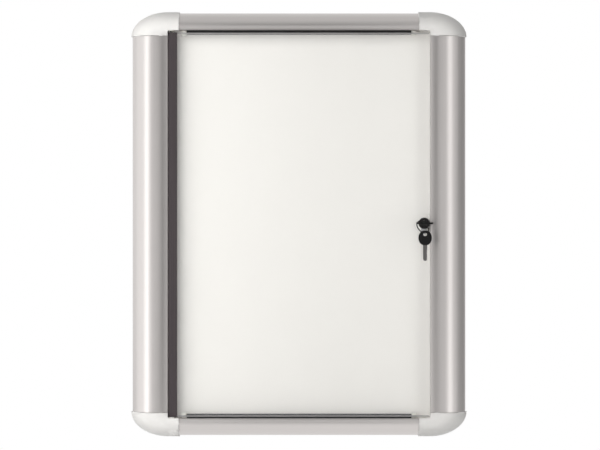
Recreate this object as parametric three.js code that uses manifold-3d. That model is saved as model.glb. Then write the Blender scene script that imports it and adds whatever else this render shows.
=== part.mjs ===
// Lockable notice board: an aluminium frame with moulded corner caps, a white enamelled steel board,
// a hinged clear door with a cam lock, its key and a spare key on a ring.
// Millimetres, +X right, +Z up. The board hangs on a wall at y = 0 and its front faces -Y.
// A "front" value is a distance from the wall towards the viewer, so y = -front.
import * as THREE from "three";
import { mergeVertices } from "three/addons/utils/BufferGeometryUtils.js";
import Module from "manifold-3d";

const wasm = await Module();
wasm.setup();

// Driving sizes of the frame
const boardWidth = 536; // over the corner caps
const boardHeight = 678; // over the corner caps
const capCrest = 46; // wall to the highest line of a corner cap
const capProud = 2; // a cap stands this much above the extrusions it joins
const sideWidth = 57.7; // a side profile, inner edge to outer edge
const innerDrop = 6; // how far the rounded front falls back towards the inner edge
const crestShare = 0.39; // where the highest line lies, from the inner edge to the outer edge
const crownSpreadShare = 1.5; // how softly the front falls back, as a share of the crest's place
const frameWall = 1.8; // wall of the extrusions
const backWall = 1.6; // web of the extrusions that lies on the wall
const capSideLeg = 40; // a cap along the side profile
const capRailLeg = 77.5; // a cap along the rail
const capRailHeight = 31.7; // a cap's leg over the rail, seen from the front
const railStep = 0.5; // the rail's inner edge lies this far outside the cap's
const notchRadius = 3; // inner corner of a cap
const capWall = 2.2; // wall of a cap
const seamGap = 0.3; // joint line between a cap and an extrusion
const fitGap = 0.3; // clearance between pieces that are put together

// The board and what lies behind it
const grooveFront = 12; // front side of the groove that holds the board
const grooveDepth = 9.3; // how far the groove runs into the frame
const rearLip = 1.5; // the extrusions' rear lip stands back this far from the opening
const steelThickness = 0.6;
const boardFront = 11.7; // face of the white steel sheet

// The clear door
const doorThickness = 3;
const doorBack = 33; // rear face of the door
const doorTopGap = 3.8; // to the upper rail
const doorBottomGap = 2.1; // to the lower rail
const doorLatchGap = 0.6; // to the side profile at the lock
const doorBevelWidth = 2.7; // polished bevel round the front edge, seen from the front
const doorBevelDepth = 1.2;

// The hinge stile and its pins
const pivotInset = 6; // hinge axis, from the frame's opening
const stileEndRadius = 5.5; // rounded edge round the hinge axis
const stileThickness = 6.6;
const stileWidth = 14.4; // over all, seen from the front
const stileGrip = 4.7; // how far the stile grips the door
const pinRadius = 2;
const pinClearance = 0.2;
const pinInStile = 10; // length of a pin that sits in the stile
const pinInCap = 7; // length of a pin past the cap's edge
const bushRadius = 4;
const bushFlangeRadius = 5.5;
const bushLength = 4.5; // past the cap's edge
const topFlange = 0.8; // thickness of the upper bush's flange; the lower one carries the door
const pinChamfer = 0.5;

// Seals and buffers in the gap between the door and the rails
const sealHeight = 6.5; // seen from the front
const sealBack = 24;
const sealToDoor = 0.4;
const sealLipRadius = 1.6;
const bufferInset = 8; // from the cap's seam to the middle of a buffer
const bufferWidth = 8;
const bufferHeight = 8.5;
const bufferBack = 25;

// Corner brackets and their screws
const bracketThickness = 3;
const bracketSideWidth = 30;
const bracketSideInset = 16; // from the opening to the bracket's side leg
const bracketRailWidth = 10;
const bracketRailInset = 1.5; // from the groove's wall to the bracket's rail leg
const bracketReach = 38; // into each extrusion, past the cap's seam
const bracketCornerShare = 0.84; // outer corner, as a share of the cap's own corner curve
const screwInset = 16; // from a bracket's end to its screw
const screwRadius = 2;
const screwHeadRadius = 4;
const screwLength = 5.6; // wall side of the web to the tip
const threadClearance = 0.15;
const wallHoleRadius = 3; // for the screw that holds the board on the wall
const wallHoleInset = 13.7; // from the bracket's inner edge
const wallHoleDrop = 4.4; // below the bracket's rail leg
const wallBossRadius = 7.5;
const wallBossFoot = 0.3; // the boss stops just short of the wall
const capPostRadius = 3.5; // posts inside a cap that stand on the bracket
const capPostSideInset = 5; // from the cap's seam on the side profile
const capPostRailInset = 12.5; // from its seam on the rail

// The cam lock
const lockInset = 9.7; // lock axis, from the opening's edge
const lockHeight = 1.5; // lock axis above the middle of the board
const bezelRadius = 9;
const bezelThickness = 3;
const bezelChamfer = 0.9;
const bezelDishRadius = 6.4;
const bezelDish = 0.6;
const barrelRadius = 6.3;
const barrelFlat = 5.5; // half the distance across the barrel's flats
const barrelBack = 18.6; // front value of the barrel's rear end
const plugRadius = 4.7;
const plugClearance = 0.2;
const plugHeadProud = 0.3; // the plug's face stands out of the bezel's dish
const keywayEnd = 18.7; // front value of the keyway's bottom
const plugShoulder = 17.9;
const tailHalf = 2.6; // half the width of the plug's square tail
const tailEnd = 15.9;
const nutHalf = 8.25; // half the distance across the nut's flats
const nutThickness = 3.2;
const washerRadius = 8.6;
const washerThickness = 0.8;
const camLength = 17; // lock axis to the tip of the cam
const camHalfWidth = 4.2;
const camThickness = 1.8;
const camScrewRadius = 1.5;
const camScrewHeadRadius = 3.4;
const camScrewHead = 2.2;
const camScrewReach = 1.9; // length of the cam screw in the plug's tail
const camSlotBelow = 18; // slot in the side profile, below the lock axis, for the cam's way in
const camSlotAbove = 7; // and above it
const camSlotClearance = 1;

// The keys
const bladeWidth = 7.2;
const bladeThickness = 2;
const bladeLength = 24.5; // bow to tip
const bladeTip = 3; // length of the tapered tip
const bladeTipShare = 0.45; // width of the tip, as a share of the blade
const bladeGroove = 1.1;
const bladeGrooveDepth = 0.5;
const bladeInBow = 6;
const bladeCuts = 4; // notches along one edge
const bladeCutPitch = 3.6;
const bladeCutStart = 4.5; // tip to the middle of the first notch
const bladeCutHalf = 1.3;
const cutDepths = [1.3, 0.8, 1.6, 1.1]; // notch depths, tip first
const bowWidth = 27;
const bowLength = 23;
const bowThickness = 2.8;
const bowCorner = 9.5;
const bowRim = 2.6; // material between the slot and the bow's end
const slotHalfWidth = 5.2; // slot for the ring
const slotHalfHeight = 3;
const bowStandOff = 4.5; // lock face to bow, with the key fully in
const keyClearance = 0.15;

// The ring and the spare key that hangs on it
const ringRadius = 11; // to the middle of the wire
const ringWire = 0.75; // radius of the wire
const ringTurn = 38; // degrees, the ring's plane seen from above
const ringLean = 32; // degrees, the ring's foot leans towards the viewer
const ringShiftX = 3.8; // from the middle of the key's slot, left to the ring's centre
const ringShiftFront = 6.7;
const ringDrop = 5.85;
const spareTurn = 45; // degrees, the spare key's flat side seen from above
const ringRest = 0.3; // clearance between the wire and the slot's edge

// Fineness of round shapes, and helpers for cuts
const crownSteps = 10;
const crownInnerSteps = 4;
const capSteps = 9;
const fineSteps = 32;
const screwSteps = 16;
const ringSteps = 32;
const wireSteps = 8;
const overrun = 1; // a cut starts and ends this far outside what it cuts
const mergeDistance = 1e-4;

// Places worked out from the sizes above
const capOuterX = boardWidth / 2;
const capOuterZ = boardHeight / 2;
const frameOuterX = capOuterX - capProud;
const frameOuterZ = capOuterZ - capProud;
const openingX = frameOuterX - sideWidth;
const openingZ = capOuterZ - capRailHeight;
const seamX = capOuterX - capRailLeg;
const seamZ = capOuterZ - capSideLeg;
const railInnerZ = openingZ + railStep;
const frameCrest = capCrest - capProud;
const grooveX = openingX + grooveDepth;
const grooveZ = railInnerZ + grooveDepth;
const lipX = openingX + rearLip;
const lipZ = railInnerZ + rearLip;
const doorFront = doorBack + doorThickness;
const doorMiddle = doorBack + doorThickness / 2;
const doorTop = railInnerZ - doorTopGap;
const doorBottom = doorBottomGap - railInnerZ;
const doorRight = openingX - doorLatchGap;
const pivotX = pivotInset - openingX;
const stileLeft = pivotX - stileEndRadius;
const stileRight = stileLeft + stileWidth;
const doorLeft = stileRight - stileGrip;
const lockX = openingX - lockInset;
const bezelFront = doorFront + bezelThickness;
const plugFront = bezelFront - bezelDish + plugHeadProud;
const bowBack = bezelFront + bowStandOff;
const bowFront = bowBack + bowLength;
const slotFront = bowFront - bowRim - slotHalfHeight;
const bracketBack = backWall;
const bracketFront = backWall + bracketThickness;
const bracketRailZ = grooveZ + frameWall + bracketRailInset;
const bracketSideX = openingX + bracketSideInset;
const railScrewZ = bracketRailZ + bracketRailWidth / 2;
const sideScrewX = bracketSideX + bracketSideWidth / 2;
const bracketEndX = seamX - bracketReach;
const bracketEndZ = seamZ - bracketReach;
const railScrewX = bracketEndX + screwInset;
const sideScrewZ = bracketEndZ + screwInset;
const wallHoleX = bracketSideX + wallHoleInset;
const wallHoleZ = bracketRailZ - wallHoleDrop;
const capPostSideZ = seamZ + capPostSideInset;
const capPostRailX = seamX + capPostRailInset;
const bufferPlace = seamX - bufferInset;

// Finishes
const finish = (color, roughness, metalness) =>
  new THREE.MeshStandardMaterial({ color, roughness, metalness });
const anodised = finish(0xc9c8c6, 0.42, 0.9);
const capPlastic = finish(0xdcdcda, 0.5, 0);
const zincSteel = finish(0xb4b6b8, 0.4, 0.9);
const whiteEnamel = finish(0xf6f6f5, 0.25, 0);
const coreFibre = finish(0xb79f7c, 0.9, 0);
const galvanised = finish(0xa9acae, 0.55, 0.8);
const clearAcrylic = finish(0xeef3f4, 0.05, 0);
clearAcrylic.transparent = true;
clearAcrylic.opacity = 0.2;
const charcoal = finish(0x46403f, 0.45, 0.5);
const blackRubber = finish(0x141414, 0.85, 0);
const paleNylon = finish(0xe8e6e0, 0.5, 0);
const darkNickel = finish(0x2e2d2d, 0.3, 0.9);
const blackPlastic = finish(0x161516, 0.45, 0);
const keySteel = finish(0xb9b8b4, 0.3, 0.95);

// Solids from three.js geometry, and back
function toSolid(geometry) {
  const bare = new THREE.BufferGeometry();
  bare.setAttribute("position", geometry.getAttribute("position"));
  bare.setIndex(geometry.index);
  const merged = mergeVertices(bare, mergeDistance);
  const kept = [];
  const index = merged.index.array;
  for (let i = 0; i < index.length; i += 3) {
    const [a, b, c] = [index[i], index[i + 1], index[i + 2]];
    if (a !== b && b !== c && c !== a) kept.push(a, b, c);
  }
  const made = (triangles) =>
    new wasm.Manifold(
      new wasm.Mesh({
        numProp: 3,
        vertProperties: new Float32Array(merged.getAttribute("position").array),
        triVerts: new Uint32Array(triangles),
      }),
    );
  const solid = made(kept);
  return solid.volume() < 0 ? made(kept.reverse()) : solid;
}

function toGeometry(solid) {
  const mesh = solid.getMesh();
  const geometry = new THREE.BufferGeometry();
  geometry.setAttribute("position", new THREE.BufferAttribute(mesh.vertProperties, 3));
  geometry.setIndex(new THREE.BufferAttribute(mesh.triVerts, 1));
  const faceted = geometry.toNonIndexed();
  faceted.computeVertexNormals();
  return faceted;
}

const cut = (solid, ...tools) => tools.reduce((left, tool) => left.subtract(tool), solid);
const join = (solid, ...others) => others.reduce((all, other) => all.add(other), solid);

// Axes that an outline can be extruded along: its two coordinates, then the way it grows
const axisX = new THREE.Vector3(1, 0, 0);
const axisY = new THREE.Vector3(0, 1, 0);
const axisZ = new THREE.Vector3(0, 0, 1);
const towardsViewer = axisY.clone().negate();
const alongX = new THREE.Matrix4().makeBasis(towardsViewer, axisZ.clone().negate(), axisX);
const alongZ = new THREE.Matrix4().makeBasis(axisX, towardsViewer, axisZ.clone().negate());
const alongFront = new THREE.Matrix4().makeBasis(axisX, axisZ, towardsViewer);

const toShape = (points) => new THREE.Shape(points.map(([a, b]) => new THREE.Vector2(a, b)));

// An outline of [x, z] points, grown from one front value to another
function plate(outline, back, front) {
  const shape = outline instanceof THREE.Shape ? outline : toShape(outline);
  const geometry = new THREE.ExtrudeGeometry(shape, {
    depth: front - back,
    bevelEnabled: false,
    curveSegments: fineSteps / 4,
  });
  geometry.translate(0, 0, back);
  geometry.applyMatrix4(alongFront);
  return toSolid(geometry);
}

// An outline of [x, front] points, grown between two heights
function upright(outline, low, high) {
  const geometry = new THREE.ExtrudeGeometry(toShape(outline), {
    depth: high - low,
    bevelEnabled: false,
  });
  geometry.translate(0, 0, -high);
  geometry.applyMatrix4(alongZ);
  return toSolid(geometry);
}

// An outline of [front, z] points, grown between two places across the board
function crosswise(outline, left, right) {
  const geometry = new THREE.ExtrudeGeometry(toShape(outline.map(([front, z]) => [front, -z])), {
    depth: right - left,
    bevelEnabled: false,
  });
  geometry.translate(0, 0, left);
  geometry.applyMatrix4(alongX);
  return toSolid(geometry);
}

// A box between two corners given as [x, front, z]
function block([x0, front0, z0], [x1, front1, z1]) {
  const geometry = new THREE.BoxGeometry(x1 - x0, front1 - front0, z1 - z0);
  geometry.translate((x0 + x1) / 2, -(front0 + front1) / 2, (z0 + z1) / 2);
  return toSolid(geometry);
}

// A turned piece with its axis towards the viewer, from [radius, front] points
function turned(profile, x, z, steps) {
  const points = profile.map(([radius, front]) => new THREE.Vector2(radius, front));
  const geometry = new THREE.LatheGeometry(points, steps);
  geometry.applyMatrix4(
    new THREE.Matrix4().makeBasis(axisX, towardsViewer, axisZ.clone().negate()),
  );
  geometry.translate(x, 0, z);
  return toSolid(geometry);
}

// A turned piece with an upright axis, from [radius, z] points
function turnedUpright(profile, x, front, steps) {
  const points = profile.map(([radius, z]) => new THREE.Vector2(radius, z));
  const geometry = new THREE.LatheGeometry(points, steps);
  geometry.rotateX(Math.PI / 2);
  geometry.translate(x, -front, 0);
  return toSolid(geometry);
}

const rod = (radius, x, z, back, front, steps = fineSteps) =>
  turned([[0, back], [radius, back], [radius, front], [0, front]], x, z, steps);

// A closed solid through rings of points that all have the same number of [x, front, z] corners
function loft(rings) {
  const corners = rings[0].length;
  const positions = rings.flat().flatMap(([x, front, z]) => [x, -front, z]);
  const index = [];
  for (let ring = 0; ring < rings.length - 1; ring += 1) {
    for (let corner = 0; corner < corners; corner += 1) {
      const next = (corner + 1) % corners;
      const a = ring * corners + corner;
      const b = ring * corners + next;
      index.push(a, b, b + corners, a, b + corners, a + corners);
    }
  }
  const last = (rings.length - 1) * corners;
  for (let corner = 1; corner < corners - 1; corner += 1) {
    index.push(0, corner + 1, corner, last, last + corner, last + corner + 1);
  }
  const geometry = new THREE.BufferGeometry();
  geometry.setAttribute("position", new THREE.Float32BufferAttribute(positions, 3));
  geometry.setIndex(index);
  return toSolid(geometry);
}

// The rounded front of the frame: [share across, height share of the crest or drop] pairs.
// Share 1 is the outer edge at the wall, and the list runs inwards to the share given.
function crown(crest, innermost = 0) {
  const points = [];
  for (let step = 0; step <= crownSteps; step += 1) {
    const angle = (step / crownSteps) * (Math.PI / 2);
    points.push([crestShare + (1 - crestShare) * Math.cos(angle), crest * Math.sin(angle)]);
  }
  const spread = crestShare * crownSpreadShare;
  const fall = (share) => 1 - Math.sqrt(1 - ((crestShare - share) / spread) ** 2);
  for (let step = 1; step <= crownInnerSteps; step += 1) {
    const share = crestShare + (innermost - crestShare) * (step / crownInnerSteps);
    points.push([share, crest - (innerDrop * fall(share)) / fall(0)]);
  }
  return points;
}

// Cross-section of an extrusion, as [distance from the middle of the board, front] points
function extrusion({ base, inner, outer, wall, lip, groove, crest }) {
  const width = outer - base;
  const front = crown(crest, (inner - base) / width);
  const shell = front.map(([share, height]) => [base + width * share, height]);
  shell.push([inner, grooveFront], [groove, grooveFront], [groove, backWall]);
  shell.push([lip, backWall], [lip, 0]);
  const hollowWidth = outer - wall - base;
  const hollowFront = crown(crest - wall, (inner + wall - base) / hollowWidth);
  const hollow = hollowFront.map(([share, height]) => [
    base + hollowWidth * share,
    Math.max(height, backWall),
  ]);
  hollow.push([inner + wall, grooveFront + wall], [groove + wall, grooveFront + wall]);
  hollow.push([groove + wall, backWall]);
  return { shell, hollow };
}

const sideSection = extrusion({
  base: openingX,
  inner: openingX,
  outer: frameOuterX,
  wall: frameWall,
  lip: lipX,
  groove: grooveX,
  crest: frameCrest,
});
const railSection = extrusion({
  base: seamZ,
  inner: railInnerZ,
  outer: frameOuterZ,
  wall: frameWall,
  lip: lipZ,
  groove: grooveZ,
  crest: frameCrest,
});

// Countersunk hole for a bracket screw, through the web that lies on the wall
const countersink = (x, z) =>
  turned(
    [
      [0, -overrun],
      [screwHeadRadius + threadClearance, -overrun],
      [screwHeadRadius + threadClearance, 0],
      [screwRadius + threadClearance, backWall],
      [screwRadius + threadClearance, bracketFront + overrun],
      [0, bracketFront + overrun],
    ],
    x,
    z,
    screwSteps,
  );

function sideProfile() {
  const end = seamZ - seamGap;
  return cut(
    upright(sideSection.shell, -end, end),
    upright(sideSection.hollow, -end - overrun, end + overrun),
    countersink(sideScrewX, sideScrewZ),
    countersink(sideScrewX, -sideScrewZ),
  );
}

// The side profile at the lock, with the slot that takes the cam
function latchProfile() {
  const camFront = plugShoulder + camSlotClearance;
  const camBack = plugShoulder - camThickness - camSlotClearance;
  const slot = block(
    [openingX - overrun, camBack, lockHeight - camSlotBelow],
    [openingX + frameWall + overrun, camFront, lockHeight + camSlotAbove],
  );
  return cut(sideProfile(), slot);
}

function rail() {
  const end = seamX - seamGap;
  const turnedRound = (points) => points.map(([z, front]) => [front, z]);
  return cut(
    crosswise(turnedRound(railSection.shell), -end, end),
    crosswise(turnedRound(railSection.hollow), -end - overrun, end + overrun),
    countersink(railScrewX, railScrewZ),
    countersink(-railScrewX, railScrewZ),
  );
}

// Rounded corner body of a cap, inset by a wall and run on past its two ends
function capBody(inset, run) {
  const width = capOuterX - openingX - inset;
  const height = capSideLeg - inset;
  const section = [[0, 0], ...crown(capCrest - inset)];
  const rings = [];
  rings.push(section.map(([share, front]) => [seamX - run, front, seamZ + height * share]));
  for (let step = 0; step <= capSteps; step += 1) {
    const angle = (1 - step / capSteps) * (Math.PI / 2);
    rings.push(
      section.map(([share, front]) => [
        openingX + width * share * Math.cos(angle),
        front,
        seamZ + height * share * Math.sin(angle),
      ]),
    );
  }
  return loft(rings);
}

// The opening's corner, as a block with a rounded corner, moved outwards by an inset
function notch(inset) {
  const x = openingX + inset;
  const z = openingZ + inset;
  const radius = notchRadius + inset;
  const shape = new THREE.Shape();
  shape.moveTo(0, 0);
  shape.lineTo(x, 0);
  shape.lineTo(x, z - radius);
  shape.absarc(x - radius, z - radius, radius, 0, Math.PI / 2, false);
  shape.lineTo(0, z);
  return plate(shape, -overrun, capCrest + overrun);
}

function cornerCap(hinged) {
  const outer = cut(capBody(0, 0), notch(0));
  const sideRun = block(
    [openingX + capWall, -overrun, seamZ - overrun],
    [capOuterX, capCrest, seamZ],
  );
  const hollow = cut(capBody(capWall, overrun), notch(capWall), sideRun);
  const floor = bracketFront + fitGap;
  const post = (x, z) => rod(capPostRadius, x, z, floor, capCrest, screwSteps).intersect(outer);
  const shell = cut(
    outer,
    hollow,
    block([0, -overrun, 0], [grooveX + fitGap, grooveFront + fitGap, grooveZ + fitGap]),
    block([0, -overrun, 0], [capOuterX - capWall, wallBossFoot, capOuterZ - capWall]),
  );
  const posts = [post(sideScrewX, capPostSideZ), post(capPostRailX, railScrewZ)];
  const cap = join(shell, ...posts);
  if (!hinged) return cap;
  const hole = [
    [0, openingZ - notchRadius],
    [bushFlangeRadius + pinClearance, openingZ - notchRadius],
    [bushFlangeRadius + pinClearance, openingZ],
    [bushRadius + pinClearance, openingZ],
    [bushRadius + pinClearance, openingZ + capWall + overrun],
    [0, openingZ + capWall + overrun],
  ];
  return cut(cap, turnedUpright(hole, -pivotX, doorMiddle, fineSteps));
}

function cornerBracket() {
  const width = (capOuterX - openingX) * bracketCornerShare;
  const height = capSideLeg * bracketCornerShare;
  const sideOuter = bracketSideX + bracketSideWidth;
  const railOuter = bracketRailZ + bracketRailWidth;
  const outline = [
    [bracketSideX, bracketRailZ],
    [bracketEndX, bracketRailZ],
    [bracketEndX, railOuter],
  ];
  const first = Math.asin(Math.min(1, (railOuter - seamZ) / height));
  const last = Math.acos(Math.min(1, (sideOuter - openingX) / width));
  for (let step = 0; step <= capSteps; step += 1) {
    const angle = first + (last - first) * (step / capSteps);
    outline.push([openingX + width * Math.cos(angle), seamZ + height * Math.sin(angle)]);
  }
  outline.push([sideOuter, bracketEndZ], [bracketSideX, bracketEndZ]);
  const boss = rod(wallBossRadius, wallHoleX, wallHoleZ, wallBossFoot, bracketFront);
  return cut(
    join(plate(outline, bracketBack, bracketFront), boss),
    rod(wallHoleRadius, wallHoleX, wallHoleZ, -overrun, bracketFront + overrun),
    countersink(sideScrewX, sideScrewZ),
    countersink(railScrewX, railScrewZ),
  );
}

const bracketScrew = () =>
  turned(
    [
      [0, 0],
      [screwHeadRadius, 0],
      [screwRadius, backWall],
      [screwRadius, screwLength],
      [0, screwLength],
    ],
    0,
    0,
    screwSteps,
  );

// The clear door, bevelled round its front edge and drilled for the lock
function doorPanel() {
  const ring = (inset, front) => [
    [doorLeft, front, doorBottom + inset],
    [doorRight - inset, front, doorBottom + inset],
    [doorRight - inset, front, doorTop - inset],
    [doorLeft, front, doorTop - inset],
  ];
  const sheet = loft([
    ring(0, doorBack),
    ring(0, doorFront - doorBevelDepth),
    ring(doorBevelWidth, doorFront),
  ]);
  const hole = rod(
    barrelRadius + plugClearance,
    lockX,
    lockHeight,
    doorBack - overrun,
    doorFront + overrun,
  ).intersect(flats(plugClearance));
  return cut(sheet, hole);
}

// Two flats that stop the lock from turning in the door
const flats = (gap) =>
  block(
    [lockX - barrelFlat - gap, 0, lockHeight - bezelRadius],
    [lockX + barrelFlat + gap, bezelFront, lockHeight + bezelRadius],
  );

function hingeStile() {
  const half = stileThickness / 2;
  const reach = Math.asin(half / stileEndRadius);
  const outline = [[stileRight, doorMiddle - half]];
  for (let step = 0; step <= crownSteps; step += 1) {
    const angle = Math.PI + reach - (step / crownSteps) * 2 * reach;
    outline.push([
      pivotX + stileEndRadius * Math.cos(angle),
      doorMiddle + stileEndRadius * Math.sin(angle),
    ]);
  }
  outline.push([stileRight, doorMiddle + half]);
  const gap = pinClearance;
  const slot = block(
    [doorLeft - fitGap, doorBack - gap, doorBottom - overrun],
    [stileRight + overrun, doorFront + gap, doorTop + overrun],
  );
  const pinHole = (low, high) =>
    turnedUpright(
      [[0, low], [pinRadius + gap, low], [pinRadius + gap, high], [0, high]],
      pivotX,
      doorMiddle,
      screwSteps,
    );
  return cut(
    upright(outline, doorBottom, doorTop),
    slot,
    pinHole(doorTop - pinInStile - fitGap, doorTop + overrun),
    pinHole(doorBottom - overrun, doorBottom + pinInStile + fitGap),
  );
}

// A hinge pin, from its end in the stile to its end in the cap
function hingePin(inStile, inCap) {
  const way = Math.sign(inCap - inStile);
  const profile = [
    [0, inStile],
    [pinRadius - pinChamfer, inStile],
    [pinRadius, inStile + way * pinChamfer],
    [pinRadius, inCap - way * pinChamfer],
    [pinRadius - pinChamfer, inCap],
    [0, inCap],
  ];
  return turnedUpright(profile, pivotX, doorMiddle, screwSteps);
}

// A flanged bush in the cap's edge, at the top of the door; side -1 turns it over for the bottom
function hingeBush(side, flange) {
  const bore = pinRadius + pinClearance;
  const profile = [
    [bore, openingZ - flange],
    [bushFlangeRadius, openingZ - flange],
    [bushFlangeRadius, openingZ],
    [bushRadius, openingZ],
    [bushRadius, openingZ + bushLength],
    [bore, openingZ + bushLength],
    [bore, openingZ - flange],
  ].map(([radius, z]) => [radius, side * z]);
  return turnedUpright(profile, pivotX, doorMiddle, fineSteps);
}

// Rubber seal on a rail's inner face, with a rounded edge towards the door
function doorSeal() {
  const front = doorBack - sealToDoor;
  const edge = railInnerZ - sealHeight;
  const outline = [
    [sealBack, railInnerZ],
    [sealBack, edge],
    [front - sealLipRadius, edge],
    [front, edge + sealLipRadius],
    [front, railInnerZ],
  ];
  const end = bufferPlace - bufferWidth / 2 - fitGap;
  return crosswise(outline, -end, end);
}

const doorBuffer = () =>
  block(
    [bufferPlace - bufferWidth / 2, bufferBack, railInnerZ - bufferHeight],
    [bufferPlace + bufferWidth / 2, doorBack - fitGap, railInnerZ],
  );

function lockHousing() {
  const body = turned(
    [
      [0, barrelBack],
      [barrelRadius, barrelBack],
      [barrelRadius, doorFront],
      [bezelRadius, doorFront],
      [bezelRadius, bezelFront - bezelChamfer],
      [bezelRadius - bezelChamfer, bezelFront],
      [bezelDishRadius, bezelFront],
      [bezelDishRadius - bezelDish, bezelFront - bezelDish],
      [0, bezelFront - bezelDish],
    ],
    lockX,
    lockHeight,
    fineSteps,
  );
  const bezel = rod(bezelRadius, lockX, lockHeight, doorFront, bezelFront);
  const bore = plugRadius + plugClearance;
  return cut(
    join(body.intersect(flats(0)), body.intersect(bezel)),
    rod(bore, lockX, lockHeight, barrelBack - overrun, bezelFront),
  );
}

function lockWasher() {
  const front = doorBack;
  const back = doorBack - washerThickness;
  const hole = rod(barrelRadius + plugClearance, lockX, lockHeight, back - overrun, front + overrun);
  return cut(rod(washerRadius, lockX, lockHeight, back, front), hole);
}

function lockNut() {
  const front = doorBack - washerThickness;
  const back = front - nutThickness;
  const corner = nutHalf / Math.cos(Math.PI / 6);
  const outline = [];
  for (let side = 0; side < 6; side += 1) {
    const angle = Math.PI / 6 + (side * Math.PI) / 3;
    outline.push([lockX + corner * Math.cos(angle), lockHeight + corner * Math.sin(angle)]);
  }
  const hole = rod(barrelRadius + plugClearance, lockX, lockHeight, back - overrun, front + overrun);
  return cut(plate(outline, back, front), hole);
}

// The plug that the key turns, with its keyway and the square tail that carries the cam
function lockPlug() {
  const body = join(
    rod(plugRadius, lockX, lockHeight, plugShoulder, plugFront),
    block(
      [lockX - tailHalf, tailEnd, lockHeight - tailHalf],
      [lockX + tailHalf, plugShoulder + overrun, lockHeight + tailHalf],
    ),
  );
  const half = bladeWidth / 2 + keyClearance;
  const flat = bladeThickness / 2 + keyClearance;
  return cut(
    body,
    block(
      [lockX - half, keywayEnd, lockHeight - flat],
      [lockX + half, plugFront + overrun, lockHeight + flat],
    ),
    rod(
      camScrewRadius + threadClearance,
      lockX,
      lockHeight,
      tailEnd - overrun,
      tailEnd + camScrewReach + fitGap,
      screwSteps,
    ),
  );
}

// The cam, pointing down as it does when the door is free
function lockCam() {
  const front = plugShoulder - threadClearance;
  const back = front - camThickness;
  const shape = new THREE.Shape();
  const tip = camLength - camHalfWidth;
  shape.moveTo(lockX - camHalfWidth, lockHeight - tip);
  shape.absarc(lockX, lockHeight - tip, camHalfWidth, Math.PI, 2 * Math.PI, false);
  shape.lineTo(lockX + camHalfWidth, lockHeight);
  shape.absarc(lockX, lockHeight, camHalfWidth, 0, Math.PI, false);
  const half = tailHalf + threadClearance;
  const hole = block(
    [lockX - half, back - overrun, lockHeight - half],
    [lockX + half, front + overrun, lockHeight + half],
  );
  return cut(plate(shape, back, front), hole);
}

function camScrew() {
  const seat = tailEnd - threadClearance - fitGap / 2;
  const profile = [
    [0, seat - camScrewHead],
    [camScrewHeadRadius - pinChamfer, seat - camScrewHead],
    [camScrewHeadRadius, seat - camScrewHead + pinChamfer],
    [camScrewHeadRadius, seat],
    [camScrewRadius, seat],
    [camScrewRadius, tailEnd + camScrewReach],
    [0, tailEnd + camScrewReach],
  ];
  return turned(profile, lockX, lockHeight, screwSteps);
}

// A key blade about its own origin: [across, along] in the flat, tip towards -Z, bow edge at z = 0
function keyBlade() {
  const half = bladeWidth / 2;
  const tipHalf = half * bladeTipShare;
  const outline = [
    [-half, bladeInBow],
    [-half, bladeTip - bladeLength],
    [-tipHalf, -bladeLength],
    [tipHalf, -bladeLength],
    [half, bladeTip - bladeLength],
  ];
  for (let notchIndex = 0; notchIndex < bladeCuts; notchIndex += 1) {
    const middle = bladeCutStart + notchIndex * bladeCutPitch - bladeLength;
    const depth = cutDepths[notchIndex % cutDepths.length];
    outline.push([half, middle - bladeCutHalf]);
    outline.push([half - depth, middle]);
    outline.push([half, middle + bladeCutHalf]);
  }
  outline.push([half, bladeInBow]);
  const flat = bladeThickness / 2;
  const groove = (back, front) =>
    block(
      [-bladeGroove / 2 - tipHalf / 2, back, -bladeLength - overrun],
      [bladeGroove / 2 - tipHalf / 2, front, 0],
    );
  return cut(
    plate(outline, -flat, flat),
    groove(flat - bladeGrooveDepth, flat + overrun),
    groove(-flat - overrun, bladeGrooveDepth - flat),
  );
}

// A key bow about the same origin, with the slot for the ring and a pocket for the blade
function keyBow() {
  const half = bowWidth / 2;
  const shape = new THREE.Shape();
  shape.moveTo(-half, bowCorner);
  shape.absarc(bowCorner - half, bowCorner, bowCorner, Math.PI, 1.5 * Math.PI, false);
  shape.absarc(half - bowCorner, bowCorner, bowCorner, 1.5 * Math.PI, 2 * Math.PI, false);
  shape.absarc(half - bowCorner, bowLength - bowCorner, bowCorner, 0, Math.PI / 2, false);
  shape.absarc(bowCorner - half, bowLength - bowCorner, bowCorner, Math.PI / 2, Math.PI, false);
  const slotMiddle = bowLength - bowRim - slotHalfHeight;
  const slotEnd = slotHalfWidth - slotHalfHeight;
  const slot = new THREE.Path();
  slot.absarc(slotEnd, slotMiddle, slotHalfHeight, -Math.PI / 2, Math.PI / 2, false);
  slot.absarc(-slotEnd, slotMiddle, slotHalfHeight, Math.PI / 2, 1.5 * Math.PI, false);
  shape.holes.push(slot);
  const gap = keyClearance;
  const pocket = block(
    [-bladeWidth / 2 - gap, -bladeThickness / 2 - gap, -overrun],
    [bladeWidth / 2 + gap, bladeThickness / 2 + gap, bladeInBow + gap],
  );
  return cut(plate(shape, -bowThickness / 2, bowThickness / 2), pocket);
}

// A closed ring of round wire, about its own centre, its flat side towards the viewer
function keyRing() {
  const circle = [];
  for (let step = 0; step <= wireSteps; step += 1) {
    const angle = (step / wireSteps) * 2 * Math.PI;
    circle.push([ringRadius + ringWire * Math.cos(angle), ringWire * Math.sin(angle)]);
  }
  return turned(circle, 0, 0, ringSteps);
}

// A node: a named mesh in the frame's own coordinates
function piece(name, solid, material) {
  const mesh = new THREE.Mesh(toGeometry(solid), material);
  mesh.name = name;
  return mesh;
}

// The same piece on the other side of the board: it is mirrored across the middle
function mirrored(mesh, acrossX, acrossZ) {
  mesh.scale.set(acrossX, 1, acrossZ);
  return mesh;
}

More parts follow.
